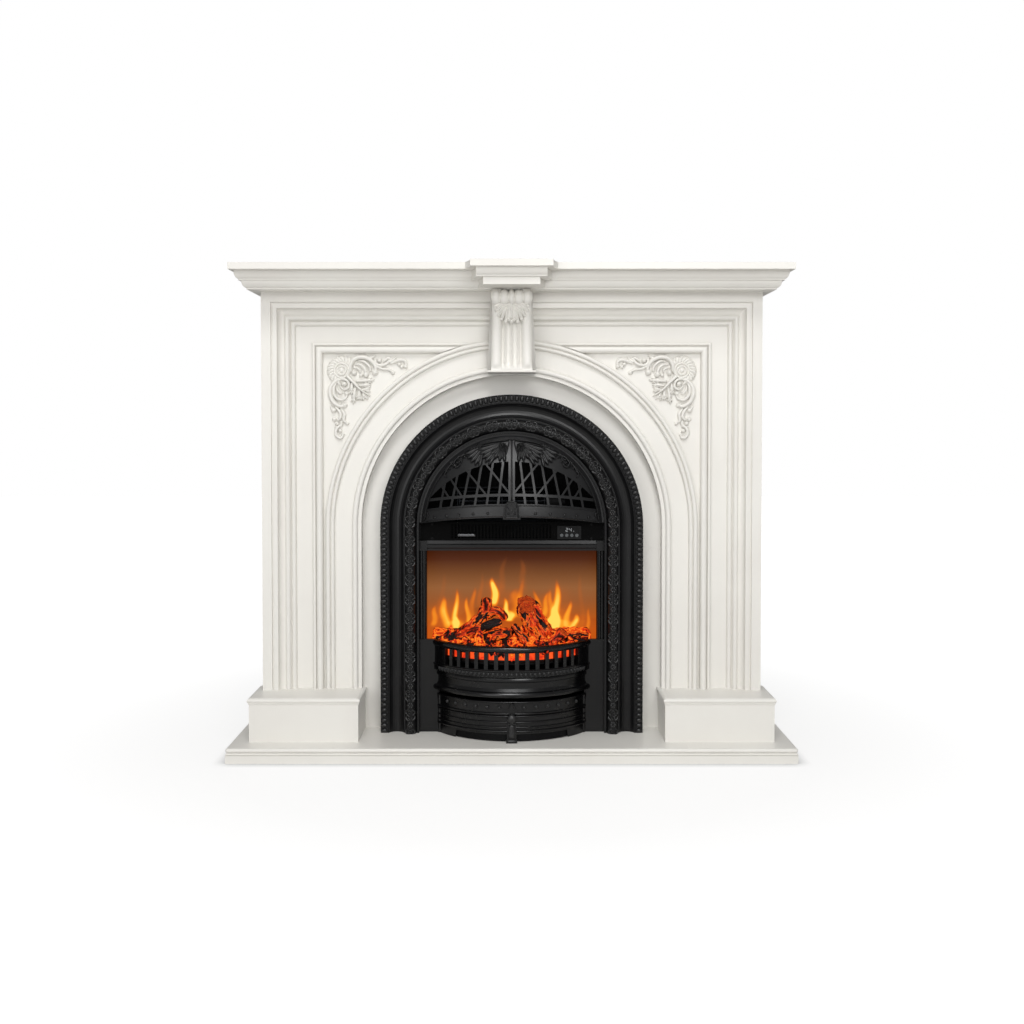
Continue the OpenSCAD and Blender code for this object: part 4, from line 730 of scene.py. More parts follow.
# Egg band of the fret: rounded eggs with darts between them, on the band over the ledge.
EGGS, EGG_SWEEP = 37, 53.5
unit = Carving(lambda a, b, h: (a, -h, b))
unit.stroke([(0, -3.6), (0, -1), (0, 1.5), (0, 3.4)], [2.4, 5.6, 6.2, 4.6], [1, 2.4, 2.4, 1.6], 3)
unit.stroke([(-4.4, 3.6), (-3.6, -1.6), (0, -4.8), (3.6, -1.6), (4.4, 3.6)], [1.0], [1.3], 3)
egg_r = FRET_R + 0.3
egg_line = [(egg_r * math.sin(k), BOW_Y - egg_r * math.cos(k), EGG_Z)
            for k in np.radians(np.linspace(-EGG_SWEEP, EGG_SWEEP, 90))]
row("egg_band", egg_line, EGGS, unit.mesh("egg"), "Z", rubbed_highlight_iron)


def on_bow(radius):
    """Places carving on the bowed front: along the arc, up, and out from the arc of that radius."""
    return lambda a, b, h: ((radius + h) * np.sin(a / radius), BOW_Y - (radius + h) * np.cos(a / radius), b)


# Front of the ash drawer: a bowed panel with raised edges, six ribs, a row of rivets and two feet.
FRONT_R, FRONT_BACK, FRONT_END_Y = 174.2, -2.2, -36.5
FRONT_FOOT, FRONT_NOTCH, FRONT_TOP, NOTCH_X = 30.0, 45.0, 111.5, 113.0
LEG_Y, RIVET_Z, RIVET_STEP = -130.7, 99.0, 8.1
front = Carving(on_bow(FRONT_R))
levels = np.concatenate([np.linspace(FRONT_FOOT, FRONT_NOTCH, 8),
                         np.linspace(FRONT_NOTCH + 0.6, FRONT_TOP, 130)])
RIBS = ((51.0, 2.4, 3.2), (59.0, 1.9, 2.6), (69.0, 1.9, 2.6), (81.0, 1.9, 2.8), (86.2, 2.3, 3.3),
        (109.2, 2.3, 3.6))
limit = math.acos((BOW_Y - FRONT_END_Y) / FRONT_R)
rings = []
for u in np.concatenate([np.linspace(-1, -0.965, 5), np.linspace(-0.96, 0.96, 121),
                         np.linspace(0.965, 1, 5)]):
    low = FRONT_FOOT if abs(FRONT_R * math.sin(u * limit)) > NOTCH_X else FRONT_NOTCH
    share = (levels - FRONT_FOOT) / (FRONT_NOTCH - FRONT_FOOT)
    up = np.where(levels > FRONT_NOTCH, levels, low + share * (FRONT_NOTCH - low + 0.3))
    out = np.zeros(len(up))
    for z, half, tall in RIBS:
        out = np.maximum(out, tall * np.sqrt(np.maximum(0, 1 - ((up - z) / half) ** 2)))
    to_edge = (1 - abs(u)) * limit * FRONT_R
    out = np.maximum(out, 2.9 * math.sqrt(max(0.0, 1 - (to_edge - 3.0) ** 2 / 9.0)))
    along = np.full(len(up), u * limit * FRONT_R)
    back = np.column_stack([along, up, np.full(len(up), FRONT_BACK)])
    rings.append(np.vstack([np.column_stack([along, up, out]), back[::-12]]))
front.solid(rings, True)
rivets = Carving(on_bow(FRONT_R))
for s in (1, -1):
    for k in range(1, 7):
        rivets.knob(FRONT_R * math.radians(RIVET_STEP * k * s), RIVET_Z, 3.7, 4.2, 0.1)
panel = front.mesh("moulded_ash_front")
panel.set_sharp_from_angle(angle=math.radians(50))
piece("moulded_ash_front", panel, polished_iron, body="ash_drawer", node="ash_front")
piece("front_rivets", rivets.mesh("front_rivets"), rubbed_highlight_iron, body="ash_drawer")

# Leg of the drawer: a ribbed ball over a collar, a rounded shaft and a toe.
leg = Carving(lambda a, b, h: (a, LEG_Y - h, b))
leg.knob(0, 78.5, 9.2, 6.0, 2.6)
for k in range(-2, 3):
    leg.stroke([(0, 87.5), (3.6 * k, 79.5), (0, 70.5)], [1.0, 2.2, 1.0], [4.6, 9.4 - 0.5 * k * k, 4.6], 4)
leg.stroke([(-8.6, 68.6), (8.6, 68.6)], [3.4], [3.4], 4)
leg.stroke([(0, 65.6), (0, 54), (0, 40)], [10.0, 12.0, 14.0], [2.2, 2.8, 3.2], 4)
leg.stroke([(-9.4, 33.6), (9.4, 33.6)], [5.4], [3.4], 4)
piece("leg_relief", leg.mesh("leg_relief"), rubbed_highlight_iron, body="ash_drawer")


def key_front(x, z):
    """Depth of the keystone's face below its scroll: three sharp ridges between two broad rounded lobes."""
    t = np.clip((z - KEY_Z1) / (KEY_ROLL_Z - KEY_ROLL_R - KEY_Z1), 0, 1.15)
    sweep = FACE_Y - 34 - 15 * t ** 1.7 + 16 * t * (1 - t)
    x = np.abs(x)
    flute = -7.0 * np.abs(np.sin(math.pi * x / 13.5)) ** 0.8
    u = np.clip((x - 20.25) / 22.5, 0, 1)
    lobe = -7.0 + 12.5 * np.sqrt(np.maximum(0, 1 - (2 * u - 1) ** 2))
    relief = np.where(x < 20.25, flute, lobe) * smooth((z - KEY_Z1 + 1.5) / 5)
    return sweep - relief


def keystone_body():
    """The keystone without its leaf: base plate, fluted body and a five-lobed scroll, as forms in place."""
    work = Carving(lambda a, b, h: (a, b, h))
    # Body: rings round it from the foot to the top, each across the front and back behind it.
    rings = []
    for z in [KEY_Z0, KEY_Z0 + 3.5, KEY_Z0 + 3.6, *np.linspace(KEY_Z1 - 2, KEY_ROLL_Z, 34), BODY_TOP - 0.2]:
        half = KEY_FOOT + (KEY_TOP - KEY_FOOT) * (z - KEY_Z0) / (BODY_TOP - KEY_Z0)
        flared = z < KEY_Z0 + 3.55
        x = np.linspace(-half, half, 121) * (KEY_FLARE if flared else 1)
        y = np.full(len(x), FACE_Y - 37.0) if flared else key_front(x * KEY_FOOT / half, np.full(len(x), z))
        rings.append([(a, b, z) for a, b in zip(x, y)] + [(a, PANEL_Y, z) for a in x[::-8]])
    work.solid(rings, True)
    # Wider plate behind, seen as a step at both sides.
    outline = [(-KEY_BASE, KEY_Z0), (KEY_BASE, KEY_Z0), (KEY_TOP + 2.5, BODY_TOP - 0.1),
               (-KEY_TOP - 2.5, BODY_TOP - 0.1)]
    work.solid([[(x, y, z) for x, z in outline] for y in (FACE_Y - 12, PANEL_Y)], True)
    # Scroll: lobes turned about its axis, with flat ends.
    stations = []
    for middle, wide in ((-31.5, 16), (-14.7, 17), (0, 11.5), (14.7, 17), (31.5, 16)):
        for u in np.linspace(-0.98, 0.98, 11):
            stations.append((middle + u * wide / 2, KEY_ROLL_R - 6.5 + 6.5 * math.sqrt(1 - u * u)))
    ends = [(stations[0][0] - 0.2, KEY_ROLL_R - 6)], [(stations[-1][0] + 0.2, KEY_ROLL_R - 6)]
    stations = ends[0] + stations + ends[1]
    turn = np.linspace(0, 2 * math.pi, 40, endpoint=False)
    work.solid([[(x, KEY_ROLL_Y + r * math.cos(k), KEY_ROLL_Z + r * math.sin(k)) for k in turn]
                for x, r in stations], True)
    return work


def keystone():
    """Keystone with its leaf and volutes, which stands for the plain solid."""
    leaf = Carving(lambda a, b, h: (a, key_front(a * 0, b) - 2.0 - h, b))
    top = KEY_ROLL_Z - KEY_ROLL_R + 3
    for s in (1, -1):
        for k, (reach, drop) in enumerate(((32, -5), (31, -14), (26, -23), (20, -30), (12, -35))):
            line = [(s * 2.5, top - 3 * k), (s * reach * 0.62, top + drop * 0.42 + 1),
                    (s * reach, top + drop)]
            leaf.stroke(line, [4, 8, 7.5], [5, 7.5, 6.5], 5)
            leaf.stroke(line, [1.4, 1.8, 1.4], [6.5, 9.4, 8.0], 5)
            leaf.knob(s * reach, top + drop, 4.2, 8.6)
    leaf.stroke([(0, top + 2), (0, top - 14), (0, top - 30)], [6, 5, 4.4], [9, 10, 9.4], 5)
    leaf.stroke([(0, top + 3), (0, top - 12), (0, top - 24), (0, top - 34)], [30, 34, 26, 12],
                [5, 5.6, 5.4, 4.6], 5)
    for a, b in ((0, -35), (-5, -31), (5, -31)):
        leaf.knob(a, top + b, 4.6, 9.6)
    forms = [keystone_body().form(), leaf.form()]
    for s in (1, -1):
        volute = Carving(lambda a, b, h: (s * (KEY_TOP + 0.2 + h), KEY_ROLL_Y + a, KEY_ROLL_Z + b))
        arms = [13.5 - 1.25 * k for k in range(10)]
        volute.stroke([(r * math.cos(0.75 * k), r * math.sin(0.75 * k)) for k, r in enumerate(arms)],
                      [3.4, 2.0], [1.8], 4)
        volute.knob(0, 0, 2.6, 2.2)
        forms.append(volute.form())
    piece("carved_keystone", solid_mesh("carved_keystone", *joined(forms)), satin_paint,
          node="keystone")


keystone()


def bumpy(points, size_mm, depth, seed):
    """How far each point is pushed out by a rough surface of that grain size, in millimetres."""
    shift = Vector((seed, seed, seed))
    return np.array([depth * noise.fractal(Vector(tuple(p / size_mm)) + shift, 0.8, 2.1, 4) for p in points])


def log_mesh(line, radii, seed, cut, char):
    """A rough log on a line: points, faces, grain places and char; cut is the slope of a sawn end, or 0."""
    path = curve(line, 14)
    run = np.concatenate([[0], np.cumsum(np.linalg.norm(np.diff(path, axis=0), axis=1))])
    length, around = run[-1], 56
    rows = max(18, int(length / 1.6))
    along = np.linspace(0, length, rows + 1)
    path = np.column_stack([np.interp(along, run, path[:, i]) for i in range(3)])
    ahead = np.gradient(path, axis=0)
    ahead /= np.linalg.norm(ahead, axis=1)[:, None]
    side = np.cross(ahead, [0.0, 1.0, 0.0])
    side /= np.linalg.norm(side, axis=1)[:, None]
    back = np.cross(side, ahead)
    turn = np.linspace(0, 2 * math.pi, around, endpoint=False)
    points, grain, charred = [], [], []
    for i, place in enumerate(path):
        t = along[i] / length
        thick = spread(radii, 101)[int(round(t * 100))]
        end = 1.0 if cut else math.sqrt(max(0.02, 1 - (1 - min(1.0, (length - along[i]) / 6.0)) ** 2))
        foot = math.sqrt(max(0.02, 1 - (1 - min(1.0, along[i] / 6.0)) ** 2))
        lift = cut * float(smooth((t - 0.5) / 0.5))
        for a in turn:
            ring = Vector((math.cos(a), math.sin(a), 0))
            ridge = noise.noise(ring * 2.6 + Vector((seed, 0, 0.035 * along[i])))
            crack = abs(noise.noise(ring * 5.2 + Vector((0, seed, 0.06 * along[i]))))
            knot = noise.noise(ring * 0.9 + Vector((0, 0, seed + 0.05 * along[i])))
            r = thick * (1 + 0.22 * ridge - 0.30 * crack + 0.26 * knot + 0.05) * min(end, foot)
            spot = place + side[i] * r * ring.x + back[i] * r * ring.y + ahead[i] * lift * r * ring.y
            points.append(spot)
            grain.append((thick * ring.x + 90 * seed, thick * ring.y, 0.38 * along[i]))
            charred.append(char + 0.10 * ridge)
    faces = [(i * around + j, i * around + (j + 1) % around, (i + 1) * around + (j + 1) % around,
              (i + 1) * around + j) for i in range(rows) for j in range(around)]
    last = rows * around
    if cut:
        rim = np.array(points[last:])
        middle = rim.mean(axis=0)
        for share, rise in ((0.84, 0.8), (0.76, -0.9), (0.58, -0.2), (0.52, -1.2), (0.32, -0.4),
                            (0.27, -1.1), (0.1, -0.5)):
            first = len(points)
            points.extend(middle + (rim - middle) * share + ahead[-1] * rise)
            grain.extend((x * share * 1.6, y * share * 1.6, z + 9)
                         for x, y, z in grain[rows * around:rows * around + around])
            charred.extend([char + 0.05 if share > 0.8 else 0.0] * around)
            faces += [(last + j, last + (j + 1) % around, first + (j + 1) % around, first + j)
                      for j in range(around)]
            last = first
    for first, order in ((0, -1), (last, 1)):
        ring = [first + j for j in range(around)][::order]
        points.append(np.mean([points[j] for j in ring], axis=0))
        grain.append(grain[first])
        charred.append(charred[first])
        faces += [(ring[j], ring[(j + 1) % around], len(points) - 1) for j in range(around)]
    return points, faces, grain, charred


def with_values(mesh, **layers):
    """Gives the mesh's points named values, one number or one vector each."""
    for name, values in layers.items():
        values = np.array(values, np.float32)
        kind, key = ("FLOAT", "value") if values.ndim == 1 else ("FLOAT_VECTOR", "vector")
        mesh.attributes.new(name, kind, "POINT").data.foreach_set(key, values.ravel())
    return mesh


# Logs as (line, radii, seed, slope of the sawn end, char): the left one with its stub, fork and lower arm,
# the thick sawn one at the right with a branch before it, low ones at the right, and charred chunks.
LOGS = [
    ([(-150, -34, 212), (-105, -42, 233), (-77, -45, 252), (-56, -45, 277), (-50, -44, 309)],
     (7, 11, 14, 13.5, 11), 1.3, 0.0, 0.02),
    ([(-60, -44, 270), (-41, -48, 279), (-29, -50, 281), (-18, -50, 272), (-13, -50, 262)],
     (9, 9.5, 9, 9, 7), 4.7, 0.0, 0.0),
    ([(-92, -48, 233), (-72, -54, 242), (-46, -56, 252), (-20, -56, 262)],
     (9, 11, 11, 8), 9.1, 0.0, 0.03),
    ([(-58, -70, 229), (-30, -76, 235), (-2, -74, 238)],
     (7, 10.5, 7), 17.5, 0.35, 0.10),
    ([(66, -30, 206), (58, -34, 228), (44, -38, 260), (31, -42, 293)],
     (27, 27, 24, 19), 8.4, 0.8, 0.02),
    ([(2, -62, 256), (14, -72, 240), (30, -78, 222), (44, -86, 200)],
     (7, 9, 9, 8), 23.8, 0.0, -0.02),
    ([(56, -88, 200), (80, -80, 220), (104, -72, 243)],
     (9, 10, 11), 11.2, 0.5, 0.02),
    ([(104, -40, 229), (130, -34, 228), (158, -24, 225)],
     (7, 7.5, 7), 14.6, 0.4, 0.0),
    ([(92, -58, 214), (122, -56, 215), (152, -44, 214)],
     (8, 11, 8), 31.0, 0.0, 0.12),
    ([(-158, -22, 221), (-140, -30, 219), (-122, -38, 215)],
     (5, 6, 6), 5.9, 0.0, 0.12),
    ([(-112, -78, 211), (-84, -90, 213), (-56, -94, 209)],
     (8, 11, 8), 37.0, 0.0, 0.06),
    ([(-50, -98, 207), (-28, -102, 212), (-8, -100, 206)],
     (8, 11, 8), 41.0, 0.0, 0.05)]
points, faces, grain, char = joined([log_mesh(*log) for log in LOGS])
mesh = with_values(solid_mesh("lit_logs", points, faces), grain=grain * MM, char=char)
piece("lit_logs", mesh, lit_bark, node="logs")


# Extents of the ember bed and its skirt, and the rows and columns of its grid that carry lumps.
BED_FRONT, BED_BACK, BED_HALF_FRONT, BED_HALF_BACK, BED_STEP_Y = -129.0, 14.0, 145.0, 164.0, FACE_Y + 22
BED_EDGE, SKIRT_BACK, SKIRT_FOOT, LUMP_ROWS, LUMP_COLUMNS = 5.0, -60.0, 5.5, (2, 44), (4, 105)


def ember_height(x, y):
    """Height of the ember bed over its plate, in millimetres, rising to the back."""
    line = np.interp(y - FACE_Y, [-86, -60, -30, 10, 40, 60], [17, 27, 34, 44, 50, 50])
    return line + 2.5 * np.sin(x * 0.06) * np.cos(y * 0.08)


def bed_top():
    """The top of the ember bed, inside the fret's bow and the casing behind it, as a grid of points."""
    rows, inner = [], FRET_R - 10.0
    for y in np.linspace(BED_FRONT, BED_BACK, 60):
        bow = math.sqrt(max(1.0, inner ** 2 - (y - BOW_Y) ** 2))
        half = min(bow, BED_HALF_FRONT) if y < BED_STEP_Y else BED_HALF_BACK
        x = np.linspace(-half, half, 110)
        z = BED_Z + ember_height(x, np.full(len(x), y))
        edge = np.minimum(1.0, (half - np.abs(x)) / BED_EDGE)
        rows.append(np.column_stack([x, np.full(len(x), y), z - BED_EDGE * (1 - edge)]))
    grid = np.array(rows)
    grid[:, :, 2] += bumpy(grid.reshape(-1, 3), 13.0, 3.2, 2.0).reshape(grid.shape[:2])
    return grid


# Ember moulding: glowing on top and behind the fret's windows, charred dark along its foot.
bed = bed_top()
rim = bed.reshape(-1, 3)[rim_of(*bed.shape[:2])]
rings = [np.column_stack([rim[:, :2], np.full(len(rim), BED_Z + up)]) for up in (6.0, 5.0, 0.4)]
mesh = solid_mesh("ember_moulding", *walled(bed, rings))
with_values(mesh, char=np.repeat([0.0, 0.5], [bed[:, :, 0].size + len(rim), 2 * len(rim)]))
piece("ember_moulding", mesh, lit_embers, node="ember_bed")
mesh.materials.append(lit_skirt)
for polygon in mesh.polygons:
    middle = polygon.center / MM
    if middle.z > BED_Z + SKIRT_FOOT and abs(polygon.normal.z) < 0.4 and middle.y < SKIRT_BACK:
        polygon.material_index = 1

# Loose-looking lumps moulded on the bed: three rough shapes, scattered, turned and sized with a fixed seed.
tree, given, result = node_tree("scattered_lumps", {
    "Ground": "Geometry", "Density": "Float", "Seed": "Int", "Smallest": "Float", "Largest": "Float",
    "Lump A": "Object", "Lump B": "Object", "Lump C": "Object", "Finish": "Material"})
spots = add(tree, "GeometryNodeDistributePointsOnFaces", {
    "Mesh": given["Ground"], "Density": given["Density"], "Seed": given["Seed"]}, distribute_method="RANDOM")
kinds = add(tree, "GeometryNodeJoinGeometry")
for letter in "ABC":
    lump = add(tree, "GeometryNodeObjectInfo", {"Object": given["Lump " + letter], "As Instance": True})
    tree.links.new(lump.outputs["Geometry"], kinds.inputs["Geometry"])
pick = add(tree, "FunctionNodeRandomValue", {4: 0, 5: 2, 8: given["Seed"]}, data_type="INT")
spin = add(tree, "FunctionNodeRandomValue", {0: (0, 0, 0), 1: (6.28, 6.28, 6.28), 8: given["Seed"]},
           data_type="FLOAT_VECTOR")
grow = add(tree, "FunctionNodeRandomValue", {2: given["Smallest"], 3: given["Largest"], 8: given["Seed"]},
           data_type="FLOAT")
copies = add(tree, "GeometryNodeInstanceOnPoints", {
    "Points": spots.outputs["Points"], "Instance": kinds.outputs["Geometry"], "Pick Instance": True,
    "Instance Index": pick.outputs[2], "Rotation": spin.outputs[0], "Scale": grow.outputs[1]})
end_tree(tree, given, result, copies.outputs["Instances"])


def lump(name, stretch, seed, char):
    """A rough lump about 10 mm across, stretched along X, and how far it has charred."""
    work = bmesh.new()
    bmesh.ops.create_icosphere(work, subdivisions=2, radius=1.0)
    for vertex in work.verts:
        rough = 1 + 0.55 * noise.noise(vertex.co * 1.7 + Vector((seed, 0, 0)))
        vertex.co = Vector((vertex.co.x * stretch, vertex.co.y, vertex.co.z * 0.75)) * rough * 5.0 * MM
    mesh = bpy.data.meshes.new(name)
    work.to_mesh(mesh)
    work.free()
    return bpy.data.objects.new(name, with_values(mesh, char=[char] * len(mesh.vertices)))


lumps = [lump("lump_a", 1.1, 1.0, 0.0), lump("lump_b", 1.9, 5.0, 0.055), lump("lump_c", 1.4, 9.0, 0.09)]
ground = bpy.data.meshes.new("lump_ground")
wide = bed.shape[1]
inside = [(r * wide + c, r * wide + c + 1, (r + 1) * wide + c + 1, (r + 1) * wide + c)
          for r in range(*LUMP_ROWS) for c in range(*LUMP_COLUMNS)]
ground.from_pydata([tuple(p) for p in (bed.reshape(-1, 3) - [0, 0, 2.0]) * MM], [], inside)
mesh = grown("ember_lumps", ground, tree, {
    "Density": 3600.0, "Seed": 7, "Smallest": 0.7, "Largest": 2.6, "Lump A": lumps[0], "Lump B": lumps[1],
    "Lump C": lumps[2], "Finish": lit_embers})
piece("ember_lumps", mesh, None)
for some in lumps:
    bpy.data.objects.remove(some)

# Flames thrown on the screen: each is (x, foot, width, height, lean, strength) in millimetres.
FLAMES = [(-165, 241, 20, 46, 6, 0.5), (-138, 236, 26, 72, -8, 0.8), (-119, 234, 17, 92, 4, 0.75),
          (-117, 232, 16, 30, 3, 0.95), (-92, 246, 15, 60, -3, 0.95), (-84, 255, 18, 72, 6, 0.5),
          (-68, 280, 14, 80, 8, 0.14), (-36, 286, 23, 60, -4, 1.05), (-22, 318, 20, 72, 10, 0.15),
          (-8, 258, 16, 44, -9, 1.1), (-2, 250, 26, 24, 0, 1.0), (8, 262, 44, 62, 6, 0.5),
          (20, 262, 20, 84, 2, 0.4), (26, 318, 22, 68, -8, 0.17), (58, 256, 18, 66, -12, 0.55),
          (68, 262, 16, 54, 10, 0.55), (80, 238, 20, 28, 4, 1.0), (92, 236, 25, 108, 4, 1.0),
          (92, 234, 26, 52, 0, 1.2), (84, 262, 16, 60, -4, 0.5), (116, 232, 20, 66, 8, 0.85),
          (128, 232, 22, 36, 12, 0.9), (160, 232, 13, 52, 4, 0.55), (150, 250, 16, 110, -10, 0.16),
          (-150, 250, 20, 110, 8, 0.14), (104, 236, 60, 20, 0, 0.55), (-110, 232, 70, 22, 0, 0.5)]
SCREEN_Y, SCREEN_T, SCREEN_HALF, AMBER_Z, DECK_Z = 24.0, 3.0, 178.0, 235.0, 405.0
x, z = np.meshgrid(np.linspace(-SCREEN_HALF, SCREEN_HALF, 250), np.linspace(BED_Z, DECK_Z, 160))
fire = np.zeros_like(x)
for number, (middle, foot, wide, high, lean, strength) in enumerate(FLAMES):
    t = np.clip((z - foot) / high, -0.2, 1.0)
    sway = lean * np.clip(t, 0, 1) ** 1.4 + wide * 0.12 * np.sin(6.5 * t + 1.7 * number)
    width = wide / 2 * (1 - np.clip(t, 0, 1)) ** 0.8 * (0.62 + 0.75 * np.clip(t + 0.12, 0, 1)) + 0.5
    off = np.abs(x - middle - sway) / width
    ends = smooth((t + 0.2) / 0.28) * (1 - smooth((z - foot - high * 0.72) / (high * 0.28)))
    body = smooth((1.36 - off) / 1.15) * (1 - smooth((t - 0.45) / 0.55) * 0.5)
    body += 0.2 * np.exp(-(off / 3.4) ** 2)
    fire = 1 - (1 - fire) * (1 - np.clip(strength * body * ends * 0.8, 0, 0.97))
ripple = [noise.noise(Vector((a / 26, b / 60, 3.0))) for a, b in zip(x.ravel(), z.ravel())]
ripple = np.array(ripple).reshape(x.shape)
fire = np.clip(fire * (1 + 0.35 * ripple) + 0.05 * ripple * (z < 330), 0, 1)
# Painted shadow of the logs on the screen: the hazy shape of the wood behind the flames.
wood = np.interp(x, [-177, -160, -138, -120, -100, -75, -52, -30, -8, 6, 20, 40, 60, 90, 120, 150, 177],
                 [252, 256, 262, 256, 270, 281, 284, 287, 284, 300, 292, 282, 284, 278, 268, 262, 258])
haze = smooth((wood - z) / 6) * 0.85
face = np.stack([x, np.full_like(x, SCREEN_Y), z], axis=2)
rim = rim_of(*x.shape)
mesh = solid_mesh("flame_picture", *walled(face, [face.reshape(-1, 3)[rim] + [0, SCREEN_T, 0]]))
source = np.concatenate([np.arange(x.size), rim])
with_values(mesh, fire=fire.ravel()[source], haze=haze.ravel()[source])
# Translucent screen lit from behind: brown above, amber near the embers, with yellow flames, and a painted
# shadow of the logs over its lower part.
lit_screen, tree, out = new_material("lit_flame_screen")
place = add(tree, "ShaderNodeTexCoord").outputs["Object"]
axes = add(tree, "ShaderNodeSeparateXYZ", {"Vector": place})
height = add(tree, "ShaderNodeMapRange", {"Value": axes.outputs["Z"], "From Min": AMBER_Z * MM,
                                          "From Max": DECK_Z * MM})
ground_tone = ramp(tree, height.outputs["Result"], [
    (0.0, "#cc5c0e"), (0.09, "#bd5812"), (0.2, "#a8561c"), (0.33, "#985628"), (0.5, "#925c32"),
    (0.68, "#744420"), (0.85, "#4e2209"), (1.0, "#361403")])
log_shadow_tone = ramp(tree, height.outputs["Result"], [(0.0, "#c25412"), (0.2, "#a04a12"), (0.33, "#85481f")])
haze_value = add(tree, "ShaderNodeAttribute", attribute_name="haze").outputs["Fac"]
mixed = add(tree, "ShaderNodeMix", {0: haze_value, 6: ground_tone, 7: log_shadow_tone}, data_type="RGBA")
heat_value = add(tree, "ShaderNodeAttribute", attribute_name="fire").outputs["Fac"]
fire_tone = ramp(tree, heat_value, [(0.0, "#9a5420"), (0.28, "#cc6216"), (0.52, "#ea7a18"),
                                    (0.76, "#ffa426"), (0.95, "#ffdc5c")])
share = add(tree, "ShaderNodeMapRange", {"Value": heat_value, "From Min": 0.0, "From Max": 0.5})
shown = add(tree, "ShaderNodeMix", {0: share.outputs["Result"], 6: mixed.outputs[2], 7: fire_tone},
            data_type="RGBA")
shader = add(tree, "ShaderNodeBsdfPrincipled", {
    "Base Color": colour("#0a0503"), "Roughness": 0.5, "IOR": 1.49, "Specular IOR Level": 0.15,
    "Emission Color": shown.outputs[2], "Emission Strength": 1.0})
tree.links.new(shader.outputs["BSDF"], out.inputs["Surface"])
piece("flame_picture", mesh, lit_screen, node="flame_screen")

# Bare plate on the grille: a thin metal strip with rounded edges and two small pins.
PLATE_X0, PLATE_X1, PLATE_Z, PLATE_H = -112.0, -75.0, 435.0, 5.4
plate = Carving(lambda a, b, h: (a, GRILLE_Y - h, b))
plate.stroke([(PLATE_X0, PLATE_Z), (PLATE_X1, PLATE_Z)], [PLATE_H], [0.9], 10)
for x in (PLATE_X0 + 2, PLATE_X1 - 2):
    plate.knob(x, PLATE_Z, 0.8, 0.6, 0.8)
piece("bare_plate", plate.mesh("bare_plate"), satin_nickel)

# Two digits and a dot that the display shows.
digit_glow, tree, out = new_material("pale_display_segments")
place = add(tree, "ShaderNodeTexCoord").outputs["Object"]
flicker = add(tree, "ShaderNodeTexNoise", {"Vector": place, "Scale": 1000.0, "Detail": 2.0})
pale = ramp(tree, flicker.outputs["Fac"], [(0.3, "#8d9092"), (0.7, "#b9bcbe")])
shader = add(tree, "ShaderNodeBsdfPrincipled", {
    "Base Color": colour("#202020"), "Roughness": 0.4, "Emission Color": pale, "Emission Strength": 1.0})
tree.links.new(shader.outputs["BSDF"], out.inputs["Surface"])
DIGIT_Z = 442.6
SEGMENTS = {"a": ((0.6, 7), (3.6, 7)), "b": ((4.2, 6.6), (4.2, 4.0)), "c": ((4.2, 3.0), (4.2, 0.4)),
            "d": ((0.6, 0), (3.6, 0)), "e": ((0, 3.0), (0, 0.4)), "f": ((0, 6.6), (0, 4.0)),
            "g": ((0.6, 3.5), (3.6, 3.5))}
digits = Carving(lambda a, b, h: (a, DISPLAY_Y - h, b))
for left, lit in ((111.5, "abged"), (118.5, "fgbc")):
    for key in lit:
        (x0, z0), (x1, z1) = SEGMENTS[key]
        digits.stroke([(left + x0, DIGIT_Z + z0), (left + x1, DIGIT_Z + z1)], [0.9], [0.15], 3)
digits.knob(127.5, DIGIT_Z + 0.8, 0.7, 0.15)
piece("display_digits", digits.mesh("display_digits"), digit_glow)


def stage_plane(name, corners, material):
    """A flat stage piece from four corners in metres."""
    mesh = bpy.data.meshes.new(name)
    mesh.from_pydata(corners, [], [(0, 1, 2, 3)])
    made = bpy.data.objects.new(name, mesh)
    mesh.materials.append(material)
    bpy.context.collection.objects.link(made)
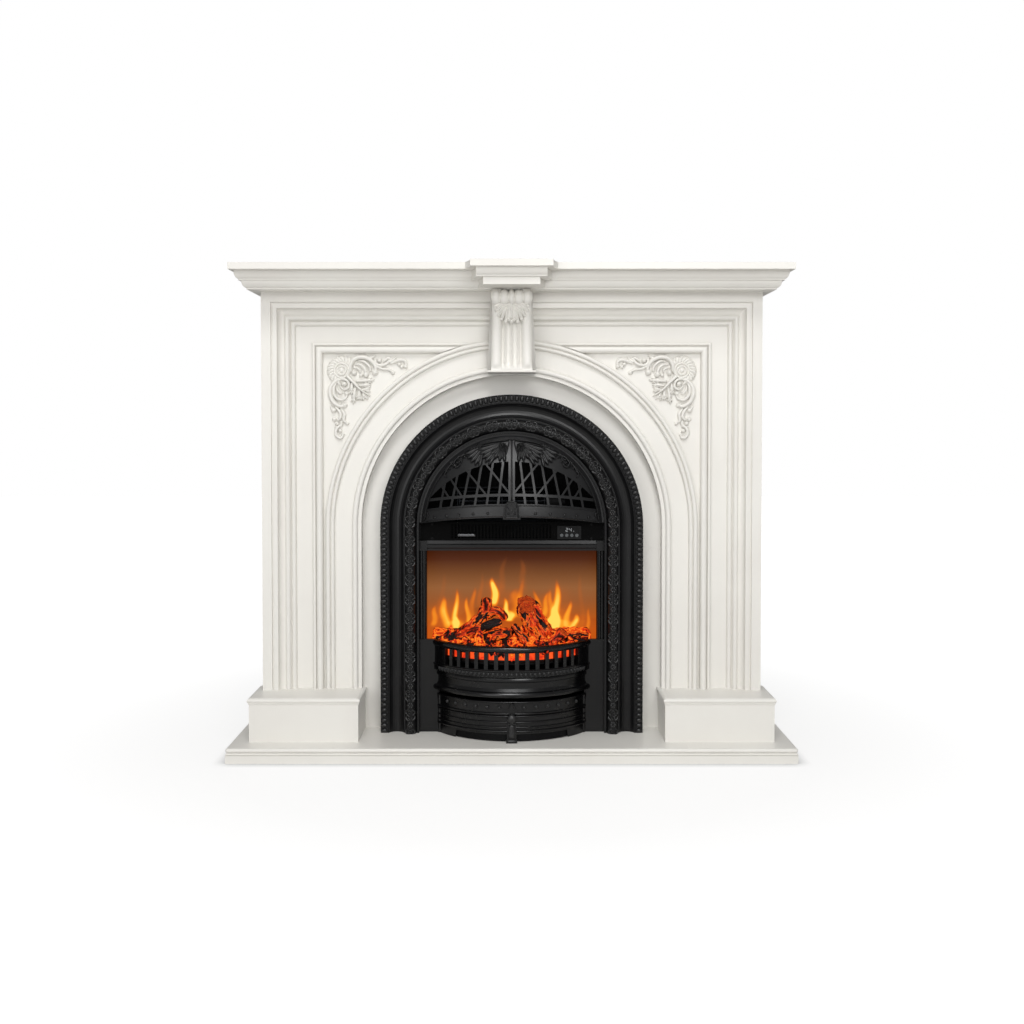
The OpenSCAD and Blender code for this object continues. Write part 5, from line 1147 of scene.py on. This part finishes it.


# Pale studio floor: white to the camera, and it keeps a faint share of the object's shadow, with a contact
# shadow painted into its glow close to the object.
floor_finish, tree, out = new_material("pale_floor")
rays = add(tree, "ShaderNodeLightPath").outputs
place = add(tree, "ShaderNodeTexCoord").outputs["Object"]
away = add(tree, "ShaderNodeVectorMath", {0: place}, operation="LENGTH")
white = add(tree, "ShaderNodeMapRange", {"Value": away.outputs["Value"], "From Min": 0.6, "From Max": 1.5,
                                         "To Min": 0.66, "To Max": 0.97})
share = add(tree, "ShaderNodeMath", {0: rays["Is Camera Ray"], 1: white.outputs["Result"]},
            operation="MULTIPLY")
matt = add(tree, "ShaderNodeBsdfDiffuse", {"Color": colour("#e2e1df")})
painted_contact_shadow = add(tree, "ShaderNodeAmbientOcclusion", {"Color": (1, 1, 1, 1), "Distance": 0.03})
glow = add(tree, "ShaderNodeEmission", {"Color": painted_contact_shadow.outputs["Color"], "Strength": 1.15})
both = add(tree, "ShaderNodeMixShader", {0: share.outputs[0], 1: matt.outputs[0], 2: glow.outputs[0]})
tree.links.new(both.outputs[0], out.inputs["Surface"])
stage_plane("floor", [(-9, -6, 0), (9, -6, 0), (9, 9, 0), (-9, 9, 0)], floor_finish)

world = bpy.data.worlds.new("studio")
bpy.context.scene.world = world
world.use_nodes = True
tree = world.node_tree
tree.nodes.clear()
rays = add(tree, "ShaderNodeLightPath").outputs
level = add(tree, "ShaderNodeMapRange", {"Value": rays["Is Camera Ray"], "To Min": 0.27, "To Max": 1.0})
sky = add(tree, "ShaderNodeBackground", {"Color": (1, 1, 1, 1), "Strength": level.outputs["Result"]})
tree.links.new(sky.outputs[0], add(tree, "ShaderNodeOutputWorld").inputs["Surface"])


def soft_box(name, place, target, size, power):
    """A square studio lamp at place, turned to target, in metres and watts."""
    lamp = bpy.data.lights.new(name, "AREA")
    lamp.shape, lamp.size, lamp.energy = "SQUARE", size, power
    made = bpy.data.objects.new(name, lamp)
    made.location = place
    made.rotation_euler = (Vector(target) - Vector(place)).to_track_quat("-Z", "Y").to_euler()
    bpy.context.collection.objects.link(made)


soft_box("key_lamp", (0.6, -2.6, 1.5), (0, 0, 0.5), 0.9, 22)
soft_box("top_lamp", (-0.2, -3.1, 4.0), (0, 0, 0.3), 1.4, 85)
soft_box("fill_lamp", (-1.2, -2.8, 0.9), (0, 0, 0.45), 1.4, 15)

lens = bpy.data.cameras.new("camera")
lens.sensor_width, lens.lens = 36.0, 43.572
lens.shift_x, lens.shift_y = 0.0003, -0.0488
camera = bpy.data.objects.new("camera", lens)
camera.location = (0, -2.5764, 0.6578)
camera.rotation_euler = (math.radians(90 - 1.62), 0, 0)
bpy.context.collection.objects.link(camera)
bpy.context.scene.camera = camera
bpy.context.scene.view_settings.view_transform = "Standard"
